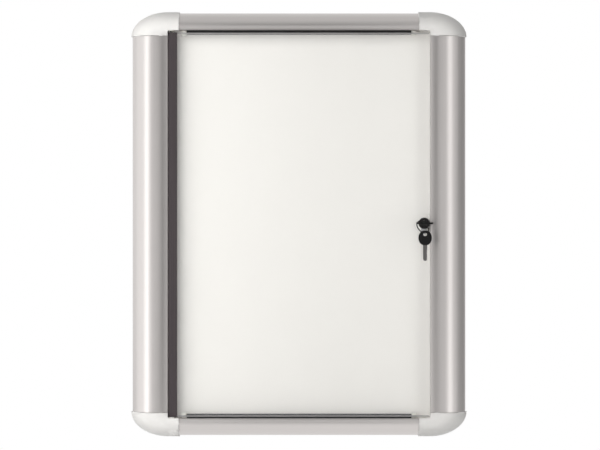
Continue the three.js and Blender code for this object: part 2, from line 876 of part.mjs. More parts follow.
const frameGroup = new THREE.Group();
const leftSide = mirrored(piece("left_side_profile", sideProfile(), anodised), -1, 1);
const rightSide = piece("right_side_profile", latchProfile(), anodised);
frameGroup.add(leftSide, rightSide);
frameGroup.add(piece("top_rail", rail(), anodised));
frameGroup.add(mirrored(piece("bottom_rail", rail(), anodised), 1, -1));

const corners = [
  ["top_left", -1, 1],
  ["top_right", 1, 1],
  ["bottom_left", -1, -1],
  ["bottom_right", 1, -1],
];
for (const [name, acrossX, acrossZ] of corners) {
  const cap = piece(`corner_cap_${name}`, cornerCap(acrossX < 0), capPlastic);
  frameGroup.add(mirrored(cap, acrossX, acrossZ));
  const bracket = piece(`corner_bracket_${name}`, cornerBracket(), zincSteel);
  frameGroup.add(mirrored(bracket, acrossX, acrossZ));
  const sideScrew = piece(`side_bracket_screw_${name}`, bracketScrew(), zincSteel);
  sideScrew.position.set(acrossX * sideScrewX, 0, acrossZ * sideScrewZ);
  const railScrew = piece(`rail_bracket_screw_${name}`, bracketScrew(), zincSteel);
  railScrew.position.set(acrossX * railScrewX, 0, acrossZ * railScrewZ);
  const buffer = piece(`door_buffer_${name}`, doorBuffer(), paleNylon);
  frameGroup.add(sideScrew, railScrew, mirrored(buffer, acrossX, acrossZ));
}
frameGroup.add(piece("top_door_seal", doorSeal(), blackRubber));
frameGroup.add(mirrored(piece("bottom_door_seal", doorSeal(), blackRubber), 1, -1));
frameGroup.add(piece("top_hinge_bush", hingeBush(1, topFlange), paleNylon));
const lowerFlange = doorBottomGap - railStep - fitGap;
frameGroup.add(piece("bottom_hinge_bush", hingeBush(-1, lowerFlange), paleNylon));

// The board: white steel face, fibre core and a galvanised rear sheet between the lips
const boardX = grooveX - fitGap;
const boardZ = grooveZ - fitGap;
const coreFront = boardFront - steelThickness;
const faceSheet = block([-boardX, coreFront, -boardZ], [boardX, boardFront, boardZ]);
const core = block([-boardX, backWall, -boardZ], [boardX, coreFront, boardZ]);
const rear = block(
  [fitGap - lipX, 0, fitGap - lipZ],
  [lipX - fitGap, backWall, lipZ - fitGap],
);
const boardGroup = new THREE.Group();
boardGroup.add(piece("white_steel_sheet", faceSheet, whiteEnamel));
boardGroup.add(piece("core_board", core, coreFibre));
boardGroup.add(piece("rear_sheet", rear, galvanised));

const doorGroup = new THREE.Group();
doorGroup.add(piece("clear_door_panel", doorPanel(), clearAcrylic));
doorGroup.add(piece("hinge_stile", hingeStile(), charcoal));
const topPin = hingePin(doorTop - pinInStile, openingZ + pinInCap);
const bottomPin = hingePin(doorBottom + pinInStile, -openingZ - pinInCap);
doorGroup.add(piece("top_hinge_pin", topPin, keySteel));
doorGroup.add(piece("bottom_hinge_pin", bottomPin, keySteel));
doorGroup.add(piece("lock_housing", lockHousing(), darkNickel));
doorGroup.add(piece("lock_washer", lockWasher(), zincSteel));
doorGroup.add(piece("lock_nut", lockNut(), zincSteel));
doorGroup.add(piece("lock_plug", lockPlug(), darkNickel));
doorGroup.add(piece("lock_cam", lockCam(), zincSteel));
doorGroup.add(piece("cam_screw", camScrew(), zincSteel));

// The key in the lock: its flat lies level and its tip points to the wall
const keyInLock = new THREE.Group();
keyInLock.add(piece("key_blade", keyBlade(), keySteel));
keyInLock.add(piece("key_bow", keyBow(), blackPlastic));
keyInLock.rotation.x = Math.PI / 2;
keyInLock.position.set(lockX, -bowBack, lockHeight);

// The ring hangs in the slot of the key's bow
const ringHolder = new THREE.Group();
const ring = piece("key_ring", keyRing(), keySteel);
ringHolder.rotation.order = "ZXY";
ringHolder.rotation.z = THREE.MathUtils.degToRad(ringTurn);
ringHolder.rotation.x = THREE.MathUtils.degToRad(-ringLean);
ringHolder.position.set(lockX - ringShiftX, -slotFront - ringShiftFront, lockHeight - ringDrop);
ringHolder.add(ring);

// The spare key hangs with the end of its slot over the ring's lowest point
ringHolder.updateMatrix();
const ringFoot = new THREE.Vector3(0, 0, -ringRadius).applyMatrix4(ringHolder.matrix);
const spare = new THREE.Group();
const slotEdge = bowLength - bowRim;
spare.add(piece("spare_key_blade", keyBlade(), keySteel));
spare.add(piece("spare_key_bow", keyBow(), blackPlastic));
spare.rotation.z = THREE.MathUtils.degToRad(spareTurn - 90);
spare.position.set(ringFoot.x, ringFoot.y, ringFoot.z + ringWire + ringRest - slotEdge);

const board = new THREE.Group();
board.add(frameGroup, boardGroup, doorGroup, keyInLock, ringHolder, spare);
export default board;
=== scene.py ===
import math

import bmesh
import bpy
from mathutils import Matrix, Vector


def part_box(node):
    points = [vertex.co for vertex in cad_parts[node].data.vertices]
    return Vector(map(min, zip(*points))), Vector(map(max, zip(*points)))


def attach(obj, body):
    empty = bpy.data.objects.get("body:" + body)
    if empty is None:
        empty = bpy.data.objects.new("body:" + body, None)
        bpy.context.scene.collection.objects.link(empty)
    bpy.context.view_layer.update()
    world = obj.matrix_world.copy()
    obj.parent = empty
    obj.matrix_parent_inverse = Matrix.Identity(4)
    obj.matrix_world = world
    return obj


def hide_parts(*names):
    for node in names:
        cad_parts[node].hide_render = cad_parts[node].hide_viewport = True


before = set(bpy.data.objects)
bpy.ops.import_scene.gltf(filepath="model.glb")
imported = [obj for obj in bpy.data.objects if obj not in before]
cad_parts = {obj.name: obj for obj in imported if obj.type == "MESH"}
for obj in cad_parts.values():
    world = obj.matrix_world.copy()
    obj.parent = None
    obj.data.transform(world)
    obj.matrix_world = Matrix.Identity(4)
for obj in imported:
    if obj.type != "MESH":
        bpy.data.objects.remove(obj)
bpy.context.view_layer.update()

MM = 0.001

# Room between pieces, the overlap of cuts, and tolerances of places, directions and shading
FIT = 0.3 * MM
CLOSE_FIT = 0.2 * MM
TIGHT_FIT = 0.15 * MM
OVERRUN = 1 * MM
WELD = 0.002 * MM
NEAR = 0.05 * MM
ALONG = 0.9
ACROSS = 0.1
SHADE_MARGIN = 10


def middle(node):
    """The middle of a CAD node's box."""
    low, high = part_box(node)
    return (low + high) / 2


# The frame, from its extrusions and caps
SIDE_LOW, SIDE_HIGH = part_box("right_side_profile")
RAIL_LOW, RAIL_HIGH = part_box("top_rail")
CAP_LOW, CAP_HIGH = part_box("corner_cap_top_right")
OPENING_X = SIDE_LOW.x
RAIL_INNER = RAIL_LOW.z
FRAME_CREST = -SIDE_LOW.y
CAP_CREST = -CAP_LOW.y
SEAM_X = CAP_LOW.x
SEAM_Z = CAP_LOW.z
CREST_SHARE = 0.39
CROWN_SPREAD_SHARE = 1.5
CROWN_DROP = 6 * MM
FRAME_WALL = 1.8 * MM
GROOVE_FRONT = 12 * MM
GROOVE_DEPTH = 9.3 * MM
LIP_INSET = 1.5 * MM
LIP_THICKNESS = 1.6 * MM
CAP_WALL = 2.2 * MM
CAP_NOTCH = 8.3 * MM
CAP_INNER_Z = SEAM_Z + CAP_NOTCH
NOTCH_RADIUS = 3 * MM
POST_RADIUS = 3.5 * MM
SIDE_SCREW = middle("side_bracket_screw_top_right")
RAIL_SCREW = middle("rail_bracket_screw_top_right")
POST_FOOT = -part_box("corner_bracket_top_right")[0].y + FIT
SIDE_POST_RISE = 5 * MM
RAIL_POST_REACH = 12.5 * MM
POST_SPOTS = (
    (SIDE_SCREW.x - OPENING_X, SIDE_POST_RISE),
    (SEAM_X + RAIL_POST_REACH - OPENING_X, RAIL_SCREW.z - SEAM_Z),
)
BUSH_HOLE_RADIUS = 4.2 * MM

# The door and its stile
DOOR_LOW, DOOR_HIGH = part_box("clear_door_panel")
DOOR_FRONT = -DOOR_LOW.y
DOOR_BACK = -DOOR_HIGH.y
DOOR_MIDDLE = (DOOR_FRONT + DOOR_BACK) / 2
DOOR_BEVEL = 2.7 * MM
DOOR_BEVEL_DEPTH = 1.2 * MM
POLISHED_TILT = 0.98
STILE_LOW, STILE_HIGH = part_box("hinge_stile")
STILE_ROUND = 5.5 * MM
STILE_HALF = 3.3 * MM
PIVOT_X = STILE_LOW.x + STILE_ROUND
PIN_BORE = 2.2 * MM
PIN_HOLE_DEPTH = 10.3 * MM

# The lock
LOCK_LOW, LOCK_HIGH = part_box("lock_housing")
LOCK_X = (LOCK_LOW.x + LOCK_HIGH.x) / 2
LOCK_Z = (LOCK_LOW.z + LOCK_HIGH.z) / 2
BEZEL_RADIUS = (LOCK_HIGH.z - LOCK_LOW.z) / 2
BEZEL_FRONT = -LOCK_LOW.y
BEZEL_ROUND = 1.1 * MM
BARREL_BACK = -LOCK_HIGH.y
BARREL_RADIUS = 6.3 * MM
BARREL_FLAT = 5.5 * MM
DISH_RADIUS = 6.4 * MM
DISH_DEPTH = 0.6 * MM
THREAD_PITCH = 1.2 * MM
THREAD_DEPTH = 0.45 * MM
THREAD_TURNS = 10
PLUG_LOW, PLUG_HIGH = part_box("lock_plug")
PLUG_RADIUS = (PLUG_HIGH.x - PLUG_LOW.x) / 2
PLUG_FRONT = -PLUG_LOW.y
PLUG_TAIL_END = -PLUG_HIGH.y
PLUG_SHOULDER = 17.9 * MM
PLUG_BORE = PLUG_RADIUS + CLOSE_FIT
PLUG_CHAMFER = 0.35 * MM
TAIL_HALF = 2.6 * MM
KEYWAY_END = 18.7 * MM
WASHER_LOW, WASHER_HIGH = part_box("lock_washer")
NUT_LOW, NUT_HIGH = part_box("lock_nut")
NUT_CHAMFER = 0.55 * MM
CAM_LOW, CAM_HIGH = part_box("lock_cam")
CAM_HALF = (CAM_HIGH.x - CAM_LOW.x) / 2
CAM_ROOM = 1 * MM
CAM_SLOT_BELOW = 18 * MM
CAM_SLOT_ABOVE = 7 * MM
CAM_SCREW_LOW, CAM_SCREW_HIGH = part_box("cam_screw")
CAM_SCREW_HEAD = 2.2 * MM
CAM_SCREW_SHANK = 1.5 * MM
# The dome of the head, as steps in from its rim and down from its top
CAM_SCREW_DOME = ((1.2 * MM, 0), (0.4 * MM, 0.4 * MM), (0, 1.1 * MM))
CAM_SCREW_CROSS = 1.9 * MM
CAM_SCREW_RECESS = 1.1 * MM

# The keys and the ring
BLADE_LOW, BLADE_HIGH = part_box("key_blade")
BLADE_HALF = (BLADE_HIGH.x - BLADE_LOW.x) / 2
BLADE_FLAT = (BLADE_HIGH.z - BLADE_LOW.z) / 2
BLADE_LENGTH = 24.5 * MM
BLADE_IN_BOW = 6 * MM
BLADE_TIP = 3 * MM
BLADE_TIP_SHARE = 0.45
BLADE_GROOVE = 1.1 * MM
BLADE_GROOVE_DEPTH = 0.5 * MM
CUT_PITCH = 3.6 * MM
CUT_START = 4.5 * MM
CUT_HALF = 1.3 * MM
CUT_DEPTHS = (1.3 * MM, 0.8 * MM, 1.6 * MM, 1.1 * MM)
BOW_LOW, BOW_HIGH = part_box("key_bow")
BOW_LENGTH = BOW_HIGH.y - BOW_LOW.y
BOW_END = BOW_LENGTH / 2
BOW_STRAIGHT = (BOW_HIGH.x - BOW_LOW.x) / 2 - BOW_END
BOW_FLAT = (BOW_HIGH.z - BOW_LOW.z) / 2
BOW_RIM = 2.6 * MM
SLOT_HALF_WIDTH = 5.2 * MM
SLOT_HALF_HEIGHT = 3 * MM
BOW_ROUND = 0.95 * MM
GRIP_MARGIN = 1.2 * MM
GRIP_HALF = 6.5 * MM
GRIP_DEPTH = 0.3 * MM
GRIP_RADIUS = 2.4 * MM
SPARE_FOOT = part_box("spare_key_bow")[0].z
SPARE_TURN = -45
RING_RADIUS = 11 * MM
RING_WIRE = 0.75 * MM
RING_LEAN = -32
RING_TURN = 38

# The seals, the buffers, the bushes and pins of the hinge, and the screws of the brackets
SEAL_LOW, SEAL_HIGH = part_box("top_door_seal")
SEAL_LIP = 1.6 * MM
SEAL_RIB = 0.45 * MM
SEAL_RIBS = 3
BUFFER_LOW, BUFFER_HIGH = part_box("door_buffer_top_right")
BUFFER_PAD = 1.5 * MM
BUFFER_STEP = 0.9 * MM
BUSH_RADIUS = 4 * MM
BUSH_FLANGE = 5.5 * MM
PIN_RADIUS = 2 * MM
PIN_CHAMFER = 0.5 * MM
SCREW_HEAD = 4 * MM
SCREW_RIM = 0.2 * MM
SCREW_SHANK = 2 * MM
SCREW_WEB = 1.6 * MM
SCREW_TIP = 5.6 * MM
SCREW_RUN_OUT = 0.4 * MM
SCREW_PITCH = 0.8 * MM
SCREW_THREAD_DEPTH = 0.3 * MM
SCREW_TURNS = 4
SCREW_CROSS = 2.3 * MM
SCREW_RECESS = 1 * MM
CROSS_HALF = 0.45 * MM

# The camera, the floor and the studio, in metres and degrees
CAMERA_DISTANCE = 4.2
VIEW_WIDTH = 0.96
VIEW_SHIFT = (0.0017, -0.0013)
SENSOR_WIDTH = 36
WHITE_LIGHT = (1, 1, 1, 1)
FLOOR_SIZE = 4.2
FLOOR_PLACE = (0, -0.4, -0.52)
FLOOR_COLOR = (0.86, 0.86, 0.86, 1)
FLOOR_ROUGHNESS = 0.8
FLOOR_IN_MIRRORS = 0.15
FLOOR_GLOW = 0.85
FLOOR_GLOW_SHARE = 0.6
WORLD_STRENGTH = 0.2
# Name, place, turns, width, height and brightness
CARDS = (
    ("dark room", (0, -5.3, 0), (90, 0, 0), 26, 14, 0.11),
    ("pale middle of the room", (0, -5.1, 0), (90, 0, 0), 4.2, 2.1, 1.12),
    ("grey ceiling", (0, 0.6, 3), (0, 0, 0), 9, 4, 0.78),
    ("dark ceiling", (0, -3.9, 3.1), (0, 0, 0), 9, 5.2, 0.52),
    ("white left card", (-0.78, 0, 0), (90, 0, -90), 0.36, 1.6, 1.3),
    ("pale left card", (-0.355, -0.475, 0), (90, 0, -14), 0.26, 1.6, 0.85),
    ("pale right card", (0.335, -0.48, 0), (90, 0, 10), 0.21, 1.6, 0.72),
    ("dark side card", (0.85, 0.45, 0), (90, 0, 90), 1.1, 1.6, 0.34),
    ("pale card below", (0, 0.1, -0.5), (0, 0, 0), 3, 1.4, 1.02),
)
# Name, place, the point it faces, width, height, strength, spread, and whether reflections show it
LAMPS = (
    ("left strip", (-0.7, -0.34, 0), (-0.38, 0, 0), 0.5, 1.6, 0.32, 56, True),
    ("right strip", (0.62, -0.4, 0), (0.36, 0, 0), 0.4, 1.6, 0.32, 70, True),
    ("front lamp", (-0.42, -1.05, 0.25), (-0.1, 0, 0.1), 0.7, 1.5, 3.1, 180, False),
    ("corner lamp", (-1.3, -0.1, 0.8), (-0.24, 0, 0), 0.8, 0.8, 1.5, 180, False),
)


# Modelling steps
def choose(piece):
    """Selects one object, and nothing else."""
    bpy.ops.object.select_all(action="DESELECT")
    piece.select_set(True)
    bpy.context.view_layer.objects.active = piece


def edit(piece):
    choose(piece)
    bpy.ops.object.mode_set(mode="EDIT")
    bpy.ops.mesh.select_mode(type="VERT")


def leave():
    bpy.ops.object.mode_set(mode="OBJECT")


def settle(piece, location=(0, 0, 0), turns=(0, 0, 0)):
    """Puts a piece in its place and turn, in degrees, and writes both into its mesh."""
    choose(piece)
    piece.location = location
    piece.rotation_euler = [math.radians(turn) for turn in turns]
    bpy.ops.object.transform_apply(location=True, rotation=True, scale=True)
    return piece


def select_all():
    bpy.ops.mesh.select_all(action="SELECT")


def select(piece, kind, test):
    """In edit mode, selects the vertices, edges or faces whose middle and direction pass a test."""
    bpy.ops.mesh.select_mode(type=kind)
    bpy.ops.mesh.select_all(action="DESELECT")
    mesh = bmesh.from_edit_mesh(piece.data)
    if kind == "VERT":
        for vert in mesh.verts:
            vert.select_set(bool(test(vert.co, vert.normal)))
    elif kind == "EDGE":
        for edge in mesh.edges:
            first, last = (vert.co for vert in edge.verts)
            edge.select_set(bool(test((first + last) / 2, (last - first).normalized())))
    else:
        for face in mesh.faces:
            face.select_set(bool(test(face.calc_center_median(), face.normal)))
    mesh.select_flush_mode()
    bmesh.update_edit_mesh(piece.data)


def inset(thickness):
    bpy.ops.mesh.inset(thickness=thickness, use_even_offset=True)


def pull(*way):
    """Extrudes what is selected along a way."""
    bpy.ops.mesh.extrude_region_move(TRANSFORM_OT_translate={"value": way})


def apply_modifiers(piece):
    choose(piece)
    for modifier in list(piece.modifiers):
        bpy.ops.object.modifier_apply(modifier=modifier.name)


def combine(piece, *tools, how="DIFFERENCE"):
    """Cuts tools out of a piece, or joins them to it, and removes the tools."""
    for tool in tools:
        step = piece.modifiers.new("combine", "BOOLEAN")
        step.operation = how
        step.solver = "EXACT"
        step.object = tool
        apply_modifiers(piece)
        bpy.data.objects.remove(tool)
    return piece


def soften(piece, width=0, segments=2, angle=35):
    """Rounds the sharp edges of a piece and shades it smooth, with its flats kept flat."""
    if width:
        bevel = piece.modifiers.new("soft edges", "BEVEL")
        bevel.width = width
        bevel.segments = segments
        bevel.limit_method = "ANGLE"
        bevel.angle_limit = math.radians(angle)
        apply_modifiers(piece)
    choose(piece)
    bpy.ops.object.shade_smooth_by_angle(angle=math.radians(angle + SHADE_MARGIN))
    weighted = piece.modifiers.new("flats", "WEIGHTED_NORMAL")
    weighted.keep_sharp = True
    apply_modifiers(piece)
    return piece


def outward(piece):
    """Merges doubles and turns every face outwards."""
    edit(piece)
    select_all()
    bpy.ops.mesh.remove_doubles(threshold=WELD)
    bpy.ops.mesh.dissolve_degenerate(threshold=WELD)
    bpy.ops.mesh.normals_make_consistent(inside=False)
    leave()
    return piece


def duplicate(piece):
    """A copy with its own mesh."""
    other = piece.copy()
    other.data = piece.data.copy()
    bpy.context.scene.collection.objects.link(other)
    return other


def primitive(add, name, **settings):
    bpy.ops.object.select_all(action="DESELECT")
    add(**settings)
    piece = bpy.context.object
    piece.name = name
    piece.data.name = name
    return piece


def block(name, corner, opposite, radius=0, rounded=None, segments=6):
    """A box between two opposite corners; the edges that pass the rounded test get a radius."""
    low = Vector([min(ends) for ends in zip(corner, opposite)])
    high = Vector([max(ends) for ends in zip(corner, opposite)])
    piece = primitive(bpy.ops.mesh.primitive_cube_add, name, size=1)
    piece.scale = high - low
    settle(piece, (low + high) / 2)
    if rounded:
        edit(piece)
        select(piece, "EDGE", rounded)
        bpy.ops.mesh.bevel(offset=radius, segments=segments, affect="EDGES")
        leave()
    return piece


def rod(name, radius, start, end, sides=48):
    """A cylinder between two points on a line along X, Y or Z."""
    start = Vector(start)
    end = Vector(end)
    piece = primitive(
        bpy.ops.mesh.primitive_cylinder_add,
        name,
        vertices=sides,
        radius=radius,
        depth=(end - start).length,
    )
    lean = Vector((0, 0, 1)).rotation_difference(end - start).to_euler()
    return settle(piece, (start + end) / 2, [math.degrees(turn) for turn in lean])


class Outline:
    """An outline drawn in the XY plane by extruding and spinning its last vertex."""

    def __init__(self, name, x, y):
        self.piece = primitive(bpy.ops.mesh.primitive_plane_add, name, size=MM)
        edit(self.piece)
        select_all()
        bpy.ops.mesh.merge(type="CENTER")
        bpy.ops.transform.translate(value=(x, y, 0))
        self.start = (x, y)

    def end(self):
        mesh = bmesh.from_edit_mesh(self.piece.data)
        return next(vert.co.copy() for vert in mesh.verts if vert.select)

    def line(self, *points):
        for x, y in points:
            pull(*(Vector((x, y, 0)) - self.end()))

    def arc(self, x, y, degrees, steps, squash=1):
        """A clockwise arc about a centre, squashed along Y, with its start kept in place."""
        before = self.end()
        bpy.ops.mesh.spin(steps=steps, angle=math.radians(degrees), center=(x, y, 0), axis=(0, 0, 1))
        if squash == 1:
            return
        after = self.end()
        mesh = bmesh.from_edit_mesh(self.piece.data)
        mesh.verts.ensure_lookup_table()
        new = set(mesh.verts[-steps:])
        for vert in mesh.verts:
            vert.select_set(vert in new)
        mesh.select_flush_mode()
        bmesh.update_edit_mesh(self.piece.data)
        bpy.ops.transform.resize(value=(1, squash, 1), center_override=before)
        goal = Vector((after.x, before.y + (after.y - before.y) * squash, 0))
        select(self.piece, "VERT", lambda place, _: (place - goal).length < WELD)

    def close(self):
        """Joins the two ends and fills the outline with one face."""
        self.line(self.start)
        select_all()
        bpy.ops.mesh.remove_doubles(threshold=WELD)
        select_all()
        bpy.ops.mesh.edge_face_add()

    def bar(self, low, high):
        """Closes the outline and grows it along Z."""
        self.close()
        bpy.ops.transform.translate(value=(0, 0, low))
        pull(0, 0, high - low)
        leave()
        return outward(self.piece)

    def turned(self, steps=64):
        """Spins the outline once round the Y axis."""
        select_all()
        bpy.ops.mesh.spin(steps=steps, angle=2 * math.pi, center=(0, 0, 0), axis=(0, 1, 0))
        leave()
        return outward(self.piece)


def near(value, goal, room=NEAR):
    return abs(value - goal) < room


def faces_front(place, normal):
    return normal.y < -ALONG


def along_z(place, way):
    return abs(way.z) > ALONG


def faces_opening(x):
    """A test for the faces at an x that look towards the opening."""
    return lambda place, normal: near(place.x, x) and normal.x < -ALONG


def on_lock_axis(y):
    return (LOCK_X, y, LOCK_Z)


def on_hinge_axis(z):
    return (PIVOT_X, -DOOR_MIDDLE, z)


# The rounded front that the extrusions and the caps share
def draw_crown(outline, inner, crest_x, width, crest):
    """From the outer edge at the wall, over the crest, to the inner edge."""
    outer_radius = outline.start[0] - crest_x
    outline.arc(crest_x, 0, 90, steps=28, squash=crest / outer_radius)
    spread = CREST_SHARE * CROWN_SPREAD_SHARE * width
    full_fall = 1 - math.sqrt(1 - 1 / CROWN_SPREAD_SHARE**2)
    depth = CROWN_DROP / full_fall
    angle = math.degrees(math.asin((crest_x - inner) / spread))
    outline.arc(crest_x, spread - crest, angle, steps=12, squash=depth / spread)


def extrusion(name, base, inner, outer, length, turn):
    """A hollow profile with a groove and a lip for the board, drawn along Z and turned about Y."""
    width = outer - base
    groove = inner + GROOVE_DEPTH
    outline = Outline(name, outer, 0)
    draw_crown(outline, inner, base + CREST_SHARE * width, width, FRAME_CREST)
    outline.line((inner, -GROOVE_FRONT), (groove, -GROOVE_FRONT), (groove, 0))
    piece = outline.bar(-length / 2, length / 2)
    edit(piece)
    select(piece, "FACE", along_z)
    inset(FRAME_WALL)
    bpy.ops.mesh.bridge_edge_loops()
    in_groove = faces_opening(groove)
    select(piece, "FACE", in_groove)
    bpy.ops.mesh.bisect(plane_co=(0, -LIP_THICKNESS, 0), plane_no=(0, 1, 0))
    select(piece, "FACE", lambda place, normal: in_groove(place, normal) and place.y > -LIP_THICKNESS)
    pull(inner + LIP_INSET - groove, 0, 0)
    leave()
    return settle(outward(piece), turns=(0, turn, 0))


def cam_slot():
    """The opening in the right profile's inner wall that takes the cam."""
    low = (OPENING_X - OVERRUN, CAM_LOW.y - CAM_ROOM, LOCK_Z - CAM_SLOT_BELOW)
    reach = OPENING_X + FRAME_WALL + OVERRUN
    return block("cam_slot", low, (reach, CAM_HIGH.y + CAM_ROOM, LOCK_Z + CAM_SLOT_ABOVE))


def cap_shell(name, width, height, leg):
    """A cap's rounded front, spun round the opening's corner and drawn out along the rail."""
    outline = Outline(name, width, 0)
    draw_crown(outline, 0, CREST_SHARE * width, width, CAP_CREST)
    outline.line((0, 0))
    outline.close()
    piece = outline.piece
    bpy.ops.mesh.spin(steps=36, angle=math.radians(90), center=(0, 0, 0), axis=(0, -1, 0))
    leave()
    outward(piece)
    edit(piece)
    select_all()
    # The spin goes downwards, so the stretch to the cap's height also turns it upwards
    bpy.ops.transform.resize(value=(1, 1, -height / width), center_override=(0, 0, 0))
    bpy.ops.mesh.normals_make_consistent(inside=False)
    select(piece, "FACE", faces_opening(0))
    pull(-leg, 0, 0)
    leave()
    return outward(piece)


def cap_post(body, x, z):
    """A post inside a cap, from the bracket to the cap's curved wall."""
    post = rod("cap_post", POST_RADIUS, (x, -POST_FOOT, z), (x, -CAP_CREST, z), sides=24)
    return combine(post, duplicate(body), how="INTERSECT")


def corner_moulding(name, across, up, hinged):
    """A moulded corner cap, made about the opening's corner and then carried to its own corner."""
    leg = OPENING_X - SEAM_X
    inner_z = CAP_INNER_Z - SEAM_Z
    piece = cap_shell(name, CAP_HIGH.x - OPENING_X, CAP_HIGH.z - SEAM_Z, leg)
    notch = block(
        "notch",
        (-leg - OVERRUN, -CAP_CREST - OVERRUN, -OVERRUN),
        (0, OVERRUN, inner_z),
        NOTCH_RADIUS,
        lambda place, way: abs(way.y) > ALONG and near(place.x, 0) and near(place.z, inner_z),
        segments=8,
    )
    combine(piece, notch)
    posts = [cap_post(piece, *spot) for spot in POST_SPOTS]
    edit(piece)
    select(piece, "FACE", lambda place, _: near(place.x, -leg) or near(place.z, 0) or near(place.y, 0))
    bpy.ops.mesh.delete(type="FACE")
    leave()
    wall = piece.modifiers.new("wall", "SOLIDIFY")
    wall.thickness = CAP_WALL
    wall.offset = -1
    wall.use_even_offset = True
    apply_modifiers(piece)
    groove = GROOVE_DEPTH + FIT
    board_room = block(
        "board_room",
        (-leg - OVERRUN, -GROOVE_FRONT - FIT, -OVERRUN),
        (groove, OVERRUN, RAIL_INNER - SEAM_Z + groove),
    )
    combine(piece, board_room)
    if hinged:
        hinge_x = -PIVOT_X - OPENING_X
        low = (hinge_x, -DOOR_MIDDLE, inner_z - OVERRUN)
        high = (hinge_x, -DOOR_MIDDLE, inner_z + CAP_WALL + OVERRUN)
        combine(piece, rod("bush_hole", BUSH_HOLE_RADIUS, low, high))
    combine(piece, *posts, how="UNION")
    edit(piece)
    select(piece, "VERT", lambda place, _: place.y > 0)
    bpy.ops.transform.resize(value=(1, 0, 1), center_override=(0, 0, 0))
    leave()
    soften(piece, width=0.35 * MM)
    piece.scale = (across, 1, up)
    settle(piece, (across * OPENING_X, 0, up * SEAM_Z))
    if across * up < 0:
        outward(piece)
        soften(piece)
    return piece


def is_door_rim(place, way):
    """True on the front edges that lie on the door's outline."""
    on_side = near(place.x, DOOR_LOW.x, MM) or near(place.x, DOOR_HIGH.x, MM)
    on_end = near(place.z, DOOR_LOW.z, MM) or near(place.z, DOOR_HIGH.z, MM)
    return near(place.y, DOOR_LOW.y) and (on_side or on_end)


def is_sawn(place, normal):
    """True on the faces outside the door's flat front and back, but not in the lock's hole."""
    from_lock = Vector((place.x - LOCK_X, place.z - LOCK_Z)).length
    return abs(normal.y) < POLISHED_TILT and from_lock > BARREL_RADIUS + OVERRUN


def door_sheet():
    """The clear door, with a bevel round its front and the hole for the lock."""
    piece = block("clear_acrylic_door", DOOR_LOW, DOOR_HIGH)
    edit(piece)
    select(piece, "FACE", faces_front)
    inset(DOOR_BEVEL)
    select(piece, "EDGE", is_door_rim)
    bpy.ops.transform.translate(value=(0, DOOR_BEVEL_DEPTH, 0))
    leave()
    ends = (on_lock_axis(DOOR_LOW.y - OVERRUN), on_lock_axis(DOOR_HIGH.y + OVERRUN))
    combine(piece, rod("lock_hole", BARREL_RADIUS + FIT, *ends))
    return soften(piece, width=0.12 * MM, angle=25)


def sand_edges(door):
    """Gives the door's bevel and its outer edges the sanded finish, whose grey is partly painted
    shade.
    """
    door.data.materials.append(SANDED_AND_SHADED)
    edit(door)
    select(door, "FACE", is_sawn)
    door.active_material_index = 1
    bpy.ops.object.material_slot_assign()
    leave()


def stile():
    """The charcoal extrusion along the hinge: a round edge and a slot that grips the door."""
    front = -DOOR_MIDDLE - STILE_HALF
    back = -DOOR_MIDDLE + STILE_HALF
    slot_front = -DOOR_FRONT - CLOSE_FIT
    slot_back = -DOOR_BACK + CLOSE_FIT
    outline = Outline("stile_extrusion", STILE_HIGH.x, back)
    reach = math.degrees(math.asin(STILE_HALF / STILE_ROUND))
    outline.line((PIVOT_X - STILE_ROUND * math.cos(math.radians(reach)), back))
    outline.arc(PIVOT_X, -DOOR_MIDDLE, -2 * reach, steps=18)
    outline.line(
        (STILE_HIGH.x, front),
        (STILE_HIGH.x, slot_front),
        (DOOR_LOW.x - FIT, slot_front),
        (DOOR_LOW.x - FIT, slot_back),
        (STILE_HIGH.x, slot_back),
    )
    piece = outline.bar(STILE_LOW.z, STILE_HIGH.z)
    for low, high in (
        (STILE_LOW.z - OVERRUN, STILE_LOW.z + PIN_HOLE_DEPTH),
        (STILE_HIGH.z - PIN_HOLE_DEPTH, STILE_HIGH.z + OVERRUN),
    ):
        combine(piece, rod("pin_hole", PIN_BORE, on_hinge_axis(low), on_hinge_axis(high)))
    return soften(piece, width=0.3 * MM)


def seal(name, turn):
    """A black rubber seal on a rail's inner face, its section in the XY plane; it is painted shade, a
    black strip put in the shaded gap between the door and the rail.
    """
    edge = SEAL_LOW.z
    back = SEAL_HIGH.y
    front = SEAL_LOW.y
    outline = Outline(name, RAIL_INNER, back)
    outline.line((edge, back), (edge, front + SEAL_LIP))
    outline.arc(edge + SEAL_LIP, front + SEAL_LIP, -90, steps=8)
    spacing = (RAIL_INNER - edge - SEAL_LIP) / (SEAL_RIBS + 1)
    for rib in range(1, SEAL_RIBS + 1):
        crest = edge + SEAL_LIP + rib * spacing
        outline.line((crest - SEAL_RIB, front), (crest, front + SEAL_RIB), (crest + SEAL_RIB, front))
    outline.line((RAIL_INNER, front))
    piece = outline.bar(SEAL_LOW.x, SEAL_HIGH.x)
    settle(piece, turns=(0, turn, 0))
    return soften(piece, width=0.15 * MM)


def buffer_pad(name, across, up):
    """A moulded pad that the closed door rests on."""
    low = (BUFFER_LOW.x, BUFFER_LOW.y + BUFFER_PAD, BUFFER_LOW.z)
    piece = block(name, low, BUFFER_HIGH)
    edit(piece)
    select(piece, "FACE", faces_front)
    inset(BUFFER_STEP)
    pull(0, -BUFFER_PAD, 0)
    leave()
    soften(piece, width=0.45 * MM, segments=3)
    piece.scale = (across, 1, up)
    settle(piece)
    outward(piece)
    return soften(piece)


def turned_on_hinge(name, profile):
    """A turned piece on the hinge's axis, from [radius, height] points."""
    outline = Outline(name, *profile[0])
    outline.line(*profile[1:])
    return settle(outline.turned(), on_hinge_axis(0), (90, 0, 0))


